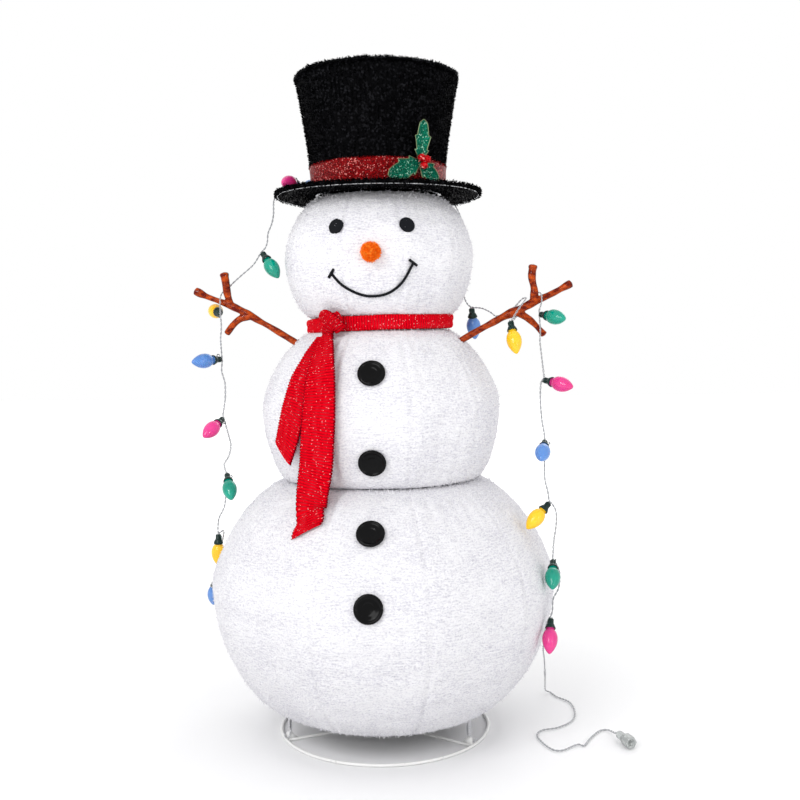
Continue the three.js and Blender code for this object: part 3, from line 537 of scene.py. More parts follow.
# ---------------------------------------------------------------- string of lights
CORD_ROUTE = [
    (-.423, .116, .317), (-.418, .112, .345), (-.410, .108, .380), (-.399, .098, .415),
    (-.393, .080, .438), (-.401, .060, .437), (-.397, .050, .471), (-.386, .044, .492),
    (-.378, .036, .510), (-.370, .020, .559), (-.365, .002, .585), (-.370, .002, .608),
    (-.358, -.003, .628), (-.352, -.006, .654), (-.356, -.014, .681), (-.360, -.024, .707),
    (-.364, -.028, .725), (-.358, -.030, .761), (-.358, -.029, .800), (-.365, -.029, .826),
    (-.364, -.028, .852), (-.363, -.040, .883), (-.360, -.056, .903), (-.356, -.064, .929),
    (-.357, -.066, .955), (-.357, -.068, .986), (-.357, -.049, 1.005), (-.349, -.028, 1.015),
    (-.338, -.026, 1.028), (-.317, -.024, 1.047), (-.289, -.020, 1.072), (-.272, -.019, 1.098),
    (-.261, -.017, 1.111), (-.257, -.014, 1.125), (-.256, -.008, 1.145), (-.249, .002, 1.168),
    (-.246, .010, 1.191), (-.247, .018, 1.214), (-.247, .040, 1.232), (-.232, .062, 1.243),
    (-.208, .050, 1.262), (-.189, .041, 1.266), (-.184, .064, 1.258), (-.184, .096, 1.250),
    (-.164, .119, 1.262), (-.158, .150, 1.249), (-.142, .178, 1.239), (-.036, .222, 1.238),
    (.008, .219, 1.242), (.030, .206, 1.250), (.098, .212, 1.239), (.128, .198, 1.241),
    (.142, .177, 1.249), (.164, .182, 1.241), (.184, .178, 1.210), (.197, .166, 1.162),
    (.197, .152, 1.118), (.196, .128, 1.060), (.195, .090, 1.006), (.200, .068, .982),
    (.212, .052, .969), (.236, .030, .965), (.255, .006, .955), (.271, -.014, .945), (.303, -.028, .960),
    (.325, -.034, .982), (.334, -.050, .984), (.328, -.066, .976), (.312, -.074, .954),
    (.300, -.083, .935), (.295, -.060, .927), (.306, -.030, .936), (.330, -.026, .962),
    (.348, -.028, .984), (.360, -.034, .995), (.365, -.052, .995), (.367, -.066, .986),
    (.366, -.070, .972), (.361, -.068, .953), (.362, -.068, .932), (.363, -.068, .908),
    (.362, -.067, .887), (.365, -.068, .855), (.369, -.076, .813), (.369, -.080, .804),
    (.362, -.083, .794), (.360, -.085, .756), (.363, -.088, .710), (.368, -.090, .676),
    (.367, -.094, .624), (.367, -.096, .584), (.373, -.098, .556), (.376, -.099, .535),
    (.382, -.101, .529), (.390, -.106, .511), (.389, -.110, .481), (.384, -.112, .450),
    (.382, -.113, .426), (.382, -.108, .408), (.392, -.102, .392), (.397, -.104, .371),
    (.392, -.116, .345), (.380, -.124, .325), (.377, -.127, .296), (.368, -.124, .276),
    (.364, -.105, .251), (.362, -.060, .199), (.369, .000, .152), (.378, .100, .085), (.383, .165, .044),
    (.387, .202, .013), (.400, .216, .003), (.415, .182, .003), (.442, .144, .003), (.446, .077, .003),
    (.431, .020, .003), (.396, -.019, .003), (.361, -.035, .003), (.346, -.064, .003),
    (.355, -.107, .003), (.373, -.144, .003), (.394, -.149, .003), (.430, -.116, .003),
    (.444, -.122, .003), (.461, -.083, .003), (.487, -.039, .003), (.503, -.030, .003),
    (.513, -.040, .005), (.518, -.061, .009), (.5213, -.0751, .0136),
]
BULB_COUNT = 20
BULB_GAP = 0.0035  # from the wire's centre to the foot of a socket
BULB_COLOURS = tuple(LENS_COLOURS)


def flatten(piece):
    """Gives the piece its own copy of its mesh."""
    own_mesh(piece)


def axis_of(node):
    """The two ends of a turned CAD node on its own axis, its blunt end first."""
    points = np.array([v.co for v in frame["nodes"][node].data.vertices], float)
    centre = points.mean(0)
    along = np.linalg.svd(points - centre)[2][0]
    reach = (points - centre) @ along
    off = np.linalg.norm(points - centre - reach[:, None] * along, axis=1)
    span = reach.max() - reach.min()
    low_width = off[reach < reach.min() + 0.05 * span].max()
    high_width = off[reach > reach.max() - 0.05 * span].max()
    low, high = centre + along * reach.min(), centre + along * reach.max()
    return (low, high) if low_width > high_width else (high, low)


def standing(point, along, towards=(0, 0, 1)):
    """A matrix at `point` with +Z along `along` and +X as near to `towards` as it can be."""
    z = Vector(along).normalized()
    guide = Vector(towards)
    if abs(guide.normalized().dot(z)) > 0.98:
        guide = Vector((1, 0, 0))
    x = (guide - z * guide.dot(z)).normalized()
    y = z.cross(x)
    return placed(point, x, y, z)


def placed(origin, x, y, z):
    return Matrix.Translation(Vector(origin)) @ Matrix((x, y, z)).transposed().to_4x4()


def moved(points, matrix):
    return np.asarray(points, float) @ np.array(matrix)[:3, :3].T + np.array(matrix)[:3, 3]


def make_bulb(number, body):
    """A ribbed lens in a green socket, which sits up against the wire with its two leads."""
    name = f"bulb_{number:02d}"
    colour = BULB_COLOURS[(number - 1) % len(BULB_COLOURS)]
    base, tip = axis_of(name)
    along = tip - base
    wire = evenly(smooth_line(CORD_ROUTE), 0.001)[0]
    gap = wire[np.argmin(np.linalg.norm(wire - base, axis=1))] - base
    base = base + unit(gap) * max(0.0, float(np.linalg.norm(gap)) - BULB_GAP)
    matrix = standing(base, along, gap + [0.0003, 0.0002, 0.0004])
    shape = Shape()
    lens_start, lens_end, widest = 0.0205, 0.0785, 0.0168
    share = np.linspace(0, 1, 22)
    swell = np.sin(np.pi * share**0.80) ** 0.62
    pinch = 1 - 0.16 * np.clip((share - 0.55) / 0.45, 0, 1) ** 2
    radius = widest * swell * pinch
    radius[0], radius[-1] = 0.0105, 0
    outline = [(0, lens_start - 0.002), (0.0100, lens_start - 0.002)]
    outline += [(max(r, 0.0), lens_start + s * (lens_end - lens_start)) for r, s in zip(radius, share)]
    shape.lathe(outline, 28, 0, matrix)
    collar = [(0, 0), (5.4, 0), (6.2, 0.8), (6.2, 7.6), (6.9, 8.2), (6.9, 9.4), (6.3, 10), (8.2, 12.5),
              (11.2, 19), (11.6, 21.5), (10.8, 22.2), (9.6, 21.2), (0, 20.6)]
    shape.lathe(np.array(collar) * MM, 20, 1, matrix)
    for turn in around(10):  # grip ribs on the neck of the socket
        rib = polar(6.2 * MM, turn, np.array([1.2, 4.4, 7.4]) * MM)
        shape.tube(moved(rib, matrix), 0.7 * MM, 5, 1)
    bend = np.linspace(-0.5 * math.pi, 1.3 * math.pi, 12)
    clip = np.stack([8.6 + 3.4 * np.cos(bend), 0 * bend, 5.2 + 3.6 * np.sin(bend)], 1) * MM
    shape.tube(moved(clip, matrix @ Matrix.Rotation(math.radians(100), 4, "Z")), 0.9 * MM, 6, 1)
    for side in (-1, 1):
        lead = np.array([(side * 2.6, 0, 1.0), (side * 2.9, 0.3, -1.8), (side * 1.6, 0.6, -4.4)]) * MM
        shape.tube(moved(smooth_line(lead, 3), matrix), 0.95 * MM, 6, 2)
    return shape.piece(f"lit_{name}", body, colour, [LENS[colour], SOCKET, CLEAR_WIRE], [name], weld=True)


def make_plug():
    """The end connector: a ridged body in a hexagonal nut."""
    base, tip = axis_of("plug")
    if base[0] > tip[0]:
        base, tip = tip, base
    matrix = standing(base, tip - base)
    long = float(np.linalg.norm(tip - base))
    shape = Shape()
    body = [(0, 0), (3.2, 0), (3.6, 1), (4.2, 6), (8.6, 9), (9, 11), (9, 14), (7.6, 15), (9, 16), (9, 20),
            (7.6, 21), (9, 22), (9, 26), (8.2, 27), (8.2, long / MM * 0.6), (0, long / MM * 0.6)]
    shape.lathe(np.array(body) * MM, 24, 0, matrix)
    nut_turn = around(48)
    from_flat = (nut_turn + math.pi / 6) % (math.pi / 3) - math.pi / 6
    hex_radius = 13.8 * MM * math.cos(math.pi / 6) / np.cos(from_flat)
    levels = [(0.55, 0.3), (0.55, 0.93), (0.58, 1.0), (0.70, 1.0), (0.72, 0.95), (0.75, 1.0), (0.97, 1.0),
              (1.0, 0.92), (1.0, 0.66), (0.86, 0.60), (0.86, 0.3)]
    ring = [polar(hex_radius * share, nut_turn, level * long) for level, share in levels]
    shape.add(moved(np.concatenate(ring), matrix), grid_faces(len(levels), 48, True, True))
    return shape.piece("string_plug", "stand", "clear_plug", [CLEAR_PLUG], ["plug"], weld=True)


def make_lights():
    """Two clear wires twisted together, with the bulbs and the plug on them."""
    line, places = evenly(smooth_line(CORD_ROUTE), 0.0028)
    across, out = frames(line)
    loose = np.clip(soft_noise(line, 14.0, 3) - 0.2, 0, 1) * 0.0011
    shape = Shape()
    for side in (0, math.pi):
        turn = (places / 0.021 * 2 * math.pi + side + 1.2 * soft_noise(line, 20.0, 4))[:, None]
        strand = line + (across * np.cos(turn) + out * np.sin(turn)) * (0.00105 + loose)[:, None]
        shape.tube(strand, 0.00096, 6, 0)
    cord = shape.piece("twin_wire", "stand", "clear_wire", [CLEAR_WIRE], ["light_cord"])
    flatten(cord)
    bodies = frame["record"]["behaviour"]["bodies"]
    body_of = {node: body for body, nodes in bodies.items() for node in nodes}
    bulbs = [make_bulb(k, body_of[f"bulb_{k:02d}"]) for k in range(1, BULB_COUNT + 1)]
    make_plug()


# ---------------------------------------------------------------- balls of pile cloth
class Ball:
    """One ball's outline, from its CAD cover: bowed from the widest ring to a hoop at each end."""

    def __init__(self, node, r0, r1, z_mid, full0, full1):
        low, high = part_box(node)
        self.node, self.z0, self.z1, self.r_mid = node, low.z, high.z, high.x
        self.r0, self.r1, self.z_mid, self.full0, self.full1 = r0, r1, z_mid, full0, full1

    def radius(self, z):
        z = np.asarray(z, float)
        below = np.clip((self.z_mid - z) / (self.z_mid - self.z0), 0, 1)
        above = np.clip((z - self.z_mid) / (self.z1 - self.z_mid), 0, 1)
        low = self.r0 + (self.r_mid - self.r0) * (1 - below**self.full0) ** (1 / self.full0)
        high = self.r1 + (self.r_mid - self.r1) * (1 - above**self.full1) ** (1 / self.full1)
        return np.where(z < self.z_mid, low, high)

    def slope(self, z):
        step = 0.002
        return np.arctan((self.radius(z - step) - self.radius(z + step)) / (2 * step))

    def point(self, bearing, z, lift=0.0):
        """Points on the cloth at a bearing and height, moved out square to it by lift."""
        share = gore_share(bearing)
        tilt = self.slope(z)
        return polar(self.radius(z) * share + lift * np.cos(tilt), bearing, z + lift * np.sin(tilt))


LOWER = Ball("lower_cover", 0.184, 0.218, 0.342, 1.9, 1.5)
MIDDLE = Ball("middle_cover", 0.218, 0.150, 0.743, 1.6, 1.5)
HEAD = Ball("head_cover", 0.150, 0.140, 1.088, 1.75, 1.6)


def gore_share(bearing):
    return GORE_SAG + (1 - GORE_SAG) * np.sin((np.asarray(bearing) - FRONT) * GORES / 2) ** 2


def make_cover(ball, name, body, tufts, seed):
    """One ball's cloth: panels that sag between seams, turned in at each hoop, with loose loops on it."""
    cell_along, cell_round = 0.0052, 0.0068
    columns = int(round(2 * math.pi * ball.r_mid / cell_round / GORES)) * GORES
    back_seam = FRONT + math.pi * (1 - 1 / GORES)
    bearing = back_seam + around(columns)
    rise = np.linspace(-math.pi / 2, math.pi / 2, int((ball.z1 - ball.z0) * 1.45 / cell_along))
    reach = np.where(rise < 0, ball.z_mid - ball.z0, ball.z1 - ball.z_mid)
    heights = ball.z_mid + np.sin(rise) * reach
    hem_low = np.array([(-13, 11), (-13, 4), (-9, -0.5), (-4, -1)]) * MM + (ball.r0, ball.z0)
    hem_high = np.array([(-3, 1.4), (-8, 1), (-12, -4)]) * MM + (ball.r1, ball.z1)
    radii = np.concatenate([hem_low[:, 0], ball.radius(heights), hem_high[:, 0]])
    heights = np.concatenate([hem_low[:, 1], heights, hem_high[:, 1]])
    arc = np.concatenate([[0], np.cumsum(np.hypot(np.diff(radii), np.diff(heights)))])

    tilt = ball.slope(heights)[:, None]
    b, r = np.meshgrid(bearing, radii)
    z = np.repeat(heights[:, None], columns, 1)
    flat = polar(r, b, z).reshape(-1, 3)
    from_seam = np.abs(np.cos((b - FRONT) * GORES / 2)) * r * 2 / GORES
    inner = np.clip(np.minimum(z - ball.z0, ball.z1 - z) / 0.03, 0, 1)
    groove = -0.0022 * np.exp(-((from_seam / 0.0045) ** 2))
    seam = groove + 0.0012 * np.exp(-(((from_seam - 0.010) / 0.005) ** 2))
    ends = np.exp(-np.minimum(z - ball.z0, ball.z1 - z) / 0.045)
    pucker = 0.0022 * ends * np.sin(b * GORES * 5 + 2 * np.sin(b * 7)) * inner
    up_cloth = np.repeat(arc, columns)
    cloth = np.stack([(b * ball.r_mid).ravel(), up_cloth, np.zeros(b.size)], 1)
    away = np.clip(from_seam / 0.03, 0.25, 1)
    billow = 0.0030 * soft_noise(flat, 9.0, seed).reshape(b.shape) * away
    crease = 0.0016 * soft_noise(flat, (22.0, 22.0, 55.0), seed + 1).reshape(b.shape) * away
    loops = 0.0011 * soft_noise(cloth, (95.0, 150.0, 1.0), seed + 2).reshape(b.shape)
    lift = (billow + crease + pucker) * inner + seam * inner + loops
    share = 1 - (1 - gore_share(b)) * inner
    points = polar(r * share + lift * np.cos(tilt), b, z + lift * np.sin(tilt)).reshape(-1, 3)
    shape = Shape().add(points, grid_faces(len(heights), columns, wrap_columns=True), 0, cloth[:, :2])
    cover = shape.piece(name, body, "white_pile", [PILE], [ball.node])

    spots = rng.integers(0, len(points), tufts)
    spots = spots[(spots >= 5 * columns) & (spots < len(points) - 5 * columns)]
    rows = spots // columns
    out = polar(np.cos(tilt[rows, 0]), b.ravel()[spots], np.sin(tilt[rows, 0]))
    sideways = np.cross(out, [0, 0, 1.0]) * rng.choice([-1, 1], (len(spots), 1))
    roots = points[spots] - out * 0.001 + rng.normal(0, 0.0018, (len(spots), 3)) * (1 - np.abs(out))
    ways = out + 0.55 * sideways
    loose = Shape().strands(roots, ways, 0.0062, 0.0011, 0.25, spread=0.38, coords=cloth[spots, :2])
    fuzz = loose.piece(f"{name}_pile", body, "white_pile", [PILE])
    for piece in (cover, fuzz):
        flatten(piece)


RIB_INSET = 0.007  # rib centreline inside the cloth
RIB_RADIUS = 0.0016


def make_ribs(ball, name, body, node):
    """Ten sprung wires under the seams and the hoop that ties them at the widest ring."""
    shape = Shape()
    heights = np.linspace(ball.z0 + 0.004, ball.z1 - 0.004, 60)
    for gore in range(GORES):
        bearing = FRONT + (gore + 0.5) * 2 * math.pi / GORES
        shape.tube(ball.point(bearing, heights, -RIB_INSET), RIB_RADIUS, 7)
    shape.tube(ball.point(around(160), ball.z_mid, -RIB_INSET), RIB_RADIUS, 7, closed=True)
    wires = shape.piece(name, body, "spring_steel", [SPRING_STEEL], [node])
    flatten(wires)


# ---------------------------------------------------------------- face and buttons
def disc_on(ball, bearing, z, outline, sides, ragged=0.0, seed=0):
    """A turned outline of [radius, lift] points bent on to the ball's cloth."""
    outline = np.array(outline, float)
    turn = around(sides)
    edge = 1 + ragged * soft_noise(np.stack([np.cos(turn), np.sin(turn), 0 * turn], 1), 5.0, seed)
    x = (outline[:, :1] * np.cos(turn) * edge).ravel()
    y = (outline[:, :1] * np.sin(turn) * edge).ravel()
    lift = np.repeat(outline[:, 1], sides)
    tilt = ball.slope(z)
    at_z = z + y * np.cos(tilt)
    at_bearing = bearing + x / (ball.radius(at_z) * gore_share(bearing))
    faces = grid_faces(len(outline), sides, wrap_columns=True)
    return ball.point(at_bearing, at_z, lift), faces


def make_eyes():
    """Two stitched felt discs, the left one more ragged."""
    profile = [(0, 0.3), (15, 0.3), (17, 1.2), (17.2, 2.4), (16.2, 3.6), (14.6, 3.9), (13.6, 3.5),
               (11, 3.7), (10, 3.3), (7, 3.7), (6, 3.3), (3, 3.6), (0, 3.5)]
    z = (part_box("eye_left")[0].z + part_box("eye_left")[1].z) / 2
    for name, side, ragged in (("eye_left", -1, 0.06), ("eye_right", 1, 0.02)):
        bearing = FRONT + side * math.radians(21.5)
        shape = Shape().add(*disc_on(HEAD, bearing, z, np.array(profile) * MM, 40, ragged, 3 + side))
        eye = shape.piece(f"felt_{name}", "neck", "black_felt", [FELT], [name], weld=True)
        flatten(eye)


def make_nose():
    """A blunt cone covered in tinsel strands."""
    matrix = stand_on(HEAD, FRONT, NOSE_Z, 0.001)
    long, wide = 0.050, 0.0195
    share = np.linspace(0, 1, 14)
    radius = wide * np.sqrt(np.clip(1 - share**2.2, 0, 1)) * (1 - 0.18 * share)
    shape = Shape().lathe([(0, 0), *[(r, s * long) for r, s in zip(radius, share)]], 24, 0, matrix)
    count = 2600
    s = rng.uniform(0, 1, count) ** 0.8
    turn = rng.uniform(0, 2 * math.pi, count)
    r = np.interp(s, share, radius)
    out = np.stack([np.cos(turn), np.sin(turn), 0.25 + 1.6 * s**2], 1)
    roots = np.stack([r * np.cos(turn), r * np.sin(turn), s * long], 1) * 0.97
    rotation = np.array(matrix)[:3, :3]
    shape.strands(moved(roots, matrix), unit(out) @ rotation.T, 0.0052, 0.0012, 0.1, spread=0.35)
    nose = shape.piece("tinsel_nose", "neck", "orange_tinsel", [ORANGE_TINSEL], ["nose"])
    flatten(nose)


def stand_on(ball, bearing, z, gap):
    """A matrix on the cloth: +Z square to it, +Y up it."""
    tilt = float(ball.slope(z))
    out = Vector((math.cos(bearing) * math.cos(tilt), math.sin(bearing) * math.cos(tilt), math.sin(tilt)))
    across = Vector((-math.sin(bearing), math.cos(bearing), 0))
    up = out.cross(across)
    return placed(Vector(ball.point(bearing, z)) + out * gap, across, up, out)


NOSE_Z = 1.079
SMILE = [(-24, 1.036), (-18, 1.012), (-9, 0.994), (0, 0.988), (10, 0.994), (18, 1.016), (24, 1.055)]


def make_mouth():
    """A corded smile with a short tick across each end."""
    lift, wire = 0.0036, 0.0031

    def along(points):
        line = smooth_line([(math.radians(a), z, 0) for a, z in points], 10)
        return HEAD.point(FRONT + line[:, 0], line[:, 1], lift)

    shape = Shape()
    smile, places = evenly(along(SMILE), 0.0016)
    across, out = frames(smile)
    for strand in around(3):
        turn = (places / 0.011 * 2 * math.pi + strand)[:, None]
        shape.tube(smile + (across * np.cos(turn) + out * np.sin(turn)) * 0.0013, 0.0019, 6)
    for tick in ([(-26.4, 1.029), (-22.2, 1.0455)], [(21.6, 1.062), (26.4, 1.0505)]):
        shape.tube(evenly(along(tick), 0.002)[0], wire, 8)
    mouth = shape.piece("smile", "neck", "black_felt", [FELT], ["mouth"])
    flatten(mouth)


def make_buttons():
    """Glossy buttons with a rolled rim and a dished face."""
    rim = [(26.6, 0), (28.4, 0.9), (29.4, 2.6), (29.5, 4.2), (28.9, 6.0), (27.6, 7.4), (25.8, 8.0),
           (24.2, 7.6), (22.6, 6.4), (20.6, 5.7), (17.0, 5.3), (13.4, 5.0), (11.6, 4.5), (10.0, 4.3)]
    outline = np.concatenate([[(0, 0)], smooth_line(np.array(rim) * MM, 3), [(0, 4.1 * MM)]])
    for number in range(1, 5):
        node = f"button_{number}"
        low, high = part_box(node)
        z = (low.z + high.z) / 2
        ball = MIDDLE if z > MIDDLE.z0 else LOWER
        shape = Shape().lathe(outline, 48, 0, stand_on(ball, FRONT, z, 0.0018))
        shape.piece(f"coal_{node}", node, "black_gloss", [BLACK_GLOSS], [node], weld=True)


# ---------------------------------------------------------------- hat
CROWN_Z0, CROWN_Z1, CROWN_R0, CROWN_FLARE = 1.236, 1.490, 0.150, 0.035
BRIM_INNER = 0.146
TINSEL_ROW = 0.0082  # pitch of the tinsel's rows


def crown_radius(z):
    share = np.clip((np.asarray(z, float) - CROWN_Z0) / (CROWN_Z1 - CROWN_Z0), 0, 1)
    return CROWN_R0 + CROWN_FLARE * share**1.5


def tufted(roots):
    """Strand lengths that come in ragged tufts."""
    return (0.0062 + 0.0050 * np.clip(soft_noise(roots, 62.0, 44), -0.6, 1))[:, None]


def make_crown():
    """The crown's wall: ridged rows of tinsel, ragged along the top edge."""
    ridges = int(round(2 * math.pi * CROWN_R0 / TINSEL_ROW))
    columns, rows = ridges * 4, 44
    b, z = np.meshgrid(around(columns), np.linspace(CROWN_Z0, CROWN_Z1 - 0.001, rows))
    flat = polar(crown_radius(z), b, z).reshape(-1, 3)
    ridge = 0.0016 * np.abs(np.cos(b * ridges / 2)) + 0.0016 * soft_noise(flat, 130.0, 5).reshape(b.shape)
    dent = 0.0030 * soft_noise(flat, 12.0, 6).reshape(b.shape)
    points = polar(crown_radius(z) + ridge + dent - 0.001, b, z)
    inside = polar(crown_radius(z[::-1]) - 0.005, b, z[::-1])
    shape = Shape().add(np.concatenate([points, inside]), grid_faces(2 * rows, columns, True, True))
    above_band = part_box("hat_band")[1].z
    count = 17000
    turn = (rng.integers(0, ridges, count) + rng.normal(0, 0.14, count)) * 2 * math.pi / ridges
    height = rng.uniform(above_band - 0.003, CROWN_Z1, count)
    roots = polar(crown_radius(height) + 0.0004, turn, height)
    out = np.stack([np.cos(turn), np.sin(turn), np.zeros(count)], 1)
    shape.strands(roots, out, 0.0056, 0.0019, 0.25, spread=0.42)
    rim_turn = rng.uniform(0, 2 * math.pi, 2600)
    rim = polar(CROWN_R0 + CROWN_FLARE - 0.002, rim_turn, CROWN_Z1 - rng.uniform(0, 0.006, 2600))
    shape.strands(rim, unit(polar(1.0, rim_turn, 0.4)), tufted(rim), 0.0024, 0.0, spread=0.5)
    crown = shape.piece("tinsel_crown", "hat", "black_tinsel", [BLACK_TINSEL], ["hat_crown"])
    flatten(crown)


def make_top():
    """The crown's lid: concentric tinsel rows, slightly domed, with a ragged rim."""
    low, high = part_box("hat_top")
    radius, thick = high.x, high.z - low.z
    rings = int(radius / TINSEL_ROW) * 3
    columns = 220
    r, b = np.meshgrid(np.linspace(0.0, radius - 0.002, rings), around(columns), indexing="ij")
    flat = polar(r, b, high.z).reshape(-1, 3)
    ridge = 0.0014 * np.abs(np.cos(r * math.pi / TINSEL_ROW))
    height = ridge + 0.0016 * soft_noise(flat, 120.0, 8).reshape(r.shape)
    dome = 0.003 * (1 - (r / radius) ** 2)
    up = polar(r, b, high.z - 0.002 + height + dome)
    shape = Shape().add(up, grid_faces(rings, columns, wrap_columns=True)[:, ::-1])
    shape.lathe([(0, high.z - 0.004), (radius - 0.002, high.z - 0.001), (radius, high.z - 0.5 * thick),
                 (radius - 0.002, low.z), (0, low.z)], columns // 2)
    count = 8600
    far = (radius - 0.001) * np.sqrt(rng.uniform(0, 1, count))
    turn = rng.uniform(0, 2 * math.pi, count)
    up = np.tile([0, 0, 1.0], (count, 1))
    shape.strands(polar(far, turn, high.z - 0.001), up, 0.0060, 0.0020, 0.0, spread=0.6)
    rim_turn = rng.uniform(0, 2 * math.pi, 3000)
    rim = polar(radius - 0.005, rim_turn, rng.uniform(low.z, high.z, 3000))
    shape.strands(rim, unit(polar(1.0, rim_turn, 0.35)), tufted(rim), 0.0024, 0.1, spread=0.5)
    shape.piece("tinsel_top", "hat_lid", "black_tinsel", [BLACK_TINSEL], ["hat_top"])


def brim_wave(bearing):
    """Rise of the brim's edge: its two ends turn up."""
    return 0.0045 * np.cos(bearing) ** 2 - 0.0015


def signed_power(value, power):
    return np.sign(value) * np.abs(value) ** power


def make_brim():
    """The brim: a flat tinsel ring with a wire under its edge."""
    low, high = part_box("hat_brim")
    outer = high.x
    mid_z, half = (low.z + high.z) / 2, (high.z - low.z) / 2
    columns, section = 340, 30
    turn = around(section)
    r = (outer + BRIM_INNER) / 2 + (outer - BRIM_INNER) / 2 * signed_power(np.cos(turn), 0.7)
    z = mid_z + half * 0.72 * signed_power(np.sin(turn), 0.6)
    bearing = around(columns)
    b, i = np.meshgrid(bearing, np.arange(section), indexing="ij")
    points = polar(r[i], b, z[i])
    flat = points.reshape(-1, 3)
    bumps = (0.0016 * soft_noise(flat, 110.0, 9) + 0.0010 * soft_noise(flat, 240.0, 10)).reshape(b.shape)
    points[..., 2] += bumps + brim_wave(b) * (r[i] / outer) ** 2
    shape = Shape().add(points, grid_faces(columns, section, True, True)[:, ::-1])
    wire = polar(outer - 0.005, bearing, low.z + 0.0012 + brim_wave(bearing))
    shape.tube(wire[::2], 0.0010, 6, 1, closed=True)
    count = 9500
    far = BRIM_INNER + (outer - BRIM_INNER) * rng.uniform(0.03, 1, count)
    turn = rng.uniform(0, 2 * math.pi, count)
    face = rng.choice([-1.0, 1.0], count, p=[0.4, 0.6])
    lift = mid_z + face * half * 0.7 + brim_wave(turn) * (far / outer) ** 2
    ways = np.stack([0.5 * np.cos(turn), 0.5 * np.sin(turn), face], 1)
    shape.strands(polar(far, turn, lift), unit(ways), 0.0056, 0.0018, 0.1, spread=0.45)
    count = 5200
    turn = rng.uniform(0, 2 * math.pi, count)
    rim = polar(outer - 0.003, turn, mid_z + rng.uniform(-0.8, 0.8, count) * half + brim_wave(turn))
    shape.strands(rim, unit(polar(1.0, turn, 0.0)), 0.0066, 0.0021, 0.15, spread=0.45)
    shape.piece("tinsel_brim", "hat", "black_tinsel", [BLACK_TINSEL, SPRING_STEEL], ["hat_brim"])


def make_band():
    """The glitter ribbon round the crown."""
    low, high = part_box("hat_band")
    columns, rows = 260, 16
    b, i = np.meshgrid(around(columns), np.arange(rows), indexing="ij")
    share = i / (rows - 1)
    z = low.z + (high.z - low.z) * share
    rough = soft_noise(polar(0.16, b, z).reshape(-1, 3), 60.0, 12).reshape(b.shape)
    crest = 0.0009 * np.sin(b * 9 + 1.3) + 0.0006 * rough
    edge = 0.0012 * (1 - (2 * share - 1) ** 8)
    outside = polar(crown_radius(z) + 0.0030 + crest + edge, b, z + crest * (share > 0.9))
    inside = polar(crown_radius(z) + 0.0012, b, z)
    section = np.concatenate([outside, inside[:, ::-1]], 1)
    shape = Shape().add(section, grid_faces(columns, 2 * rows, True, True)[:, ::-1])
    count = 1500
    turn = rng.uniform(0, 2 * math.pi, count)
    height = np.where(rng.uniform(0, 1, count) < 0.75, high.z - 0.0005, low.z + 0.001)
    ways = unit(polar(1.0, turn, np.where(height > low.z + 0.01, 0.9, -0.4)))
    shape.strands(polar(crown_radius(height) + 0.0034, turn, height), ways, 0.0036, 0.0010, 0.0, spread=0.4)
    band = shape.piece("glitter_band", "hat", "red_glitter", [RED_GLITTER], ["hat_band"])
    flatten(band)


def make_leaf(shape, matrix, long, wide, lobes=3):
    """A holly leaf: scalloped edge with a raised rim, a folded middle and side veins."""
    rows, columns = 46, 17
    t = np.linspace(0.0, 1.0, rows)
    body = np.sin(np.pi * np.clip(0.06 + 0.90 * t, 0, 1)) ** 0.75
    wave = (t * lobes + 0.15) % 1.0
    scallop = 0.74 + 0.34 * wave**2.2
    half = wide / 2 * body * scallop
    half[-1] = 0.0004
    s = np.linspace(-1, 1, columns)
    u, v = np.meshgrid(t, s, indexing="ij")
    x = u * long + 0.12 * wide * np.abs(v) * (1 - u)
    y = v * half[:, None]
    vein = 0.0006 * np.cos((u * lobes * 2 + np.abs(v) * 0.8) * 2 * math.pi)
    fold = 0.0040 * np.abs(v) * np.sin(np.pi * u) + 0.006 * u**2
    z = fold + vein * (1 - np.abs(v)) + 0.0009 * (np.abs(v) > 0.9)
    top = np.stack([x, y, z + 0.0010], -1)
    under = top - np.array([0, 0, 0.0016])
    edge = np.abs(v).ravel()
    along = np.stack([edge, u.ravel()], 1)
    shape.add(moved(top.reshape(-1, 3), matrix), grid_faces(rows, columns)[:, ::-1], 0, along)
    shape.add(moved(under.reshape(-1, 3), matrix), grid_faces(rows, columns), 0, along)
    rim = np.concatenate([top[:, 0], top[::-1, -1]])
    shape.tube(moved(evenly(rim, 0.0022)[0], matrix), 0.0010, 5, 1)
    midrib = np.stack([t * long * 0.97, 0 * t, 0.0016 + 0.006 * t**2], 1)[::3]
    shape.tube(moved(midrib, matrix), 0.0009, 5, 0)


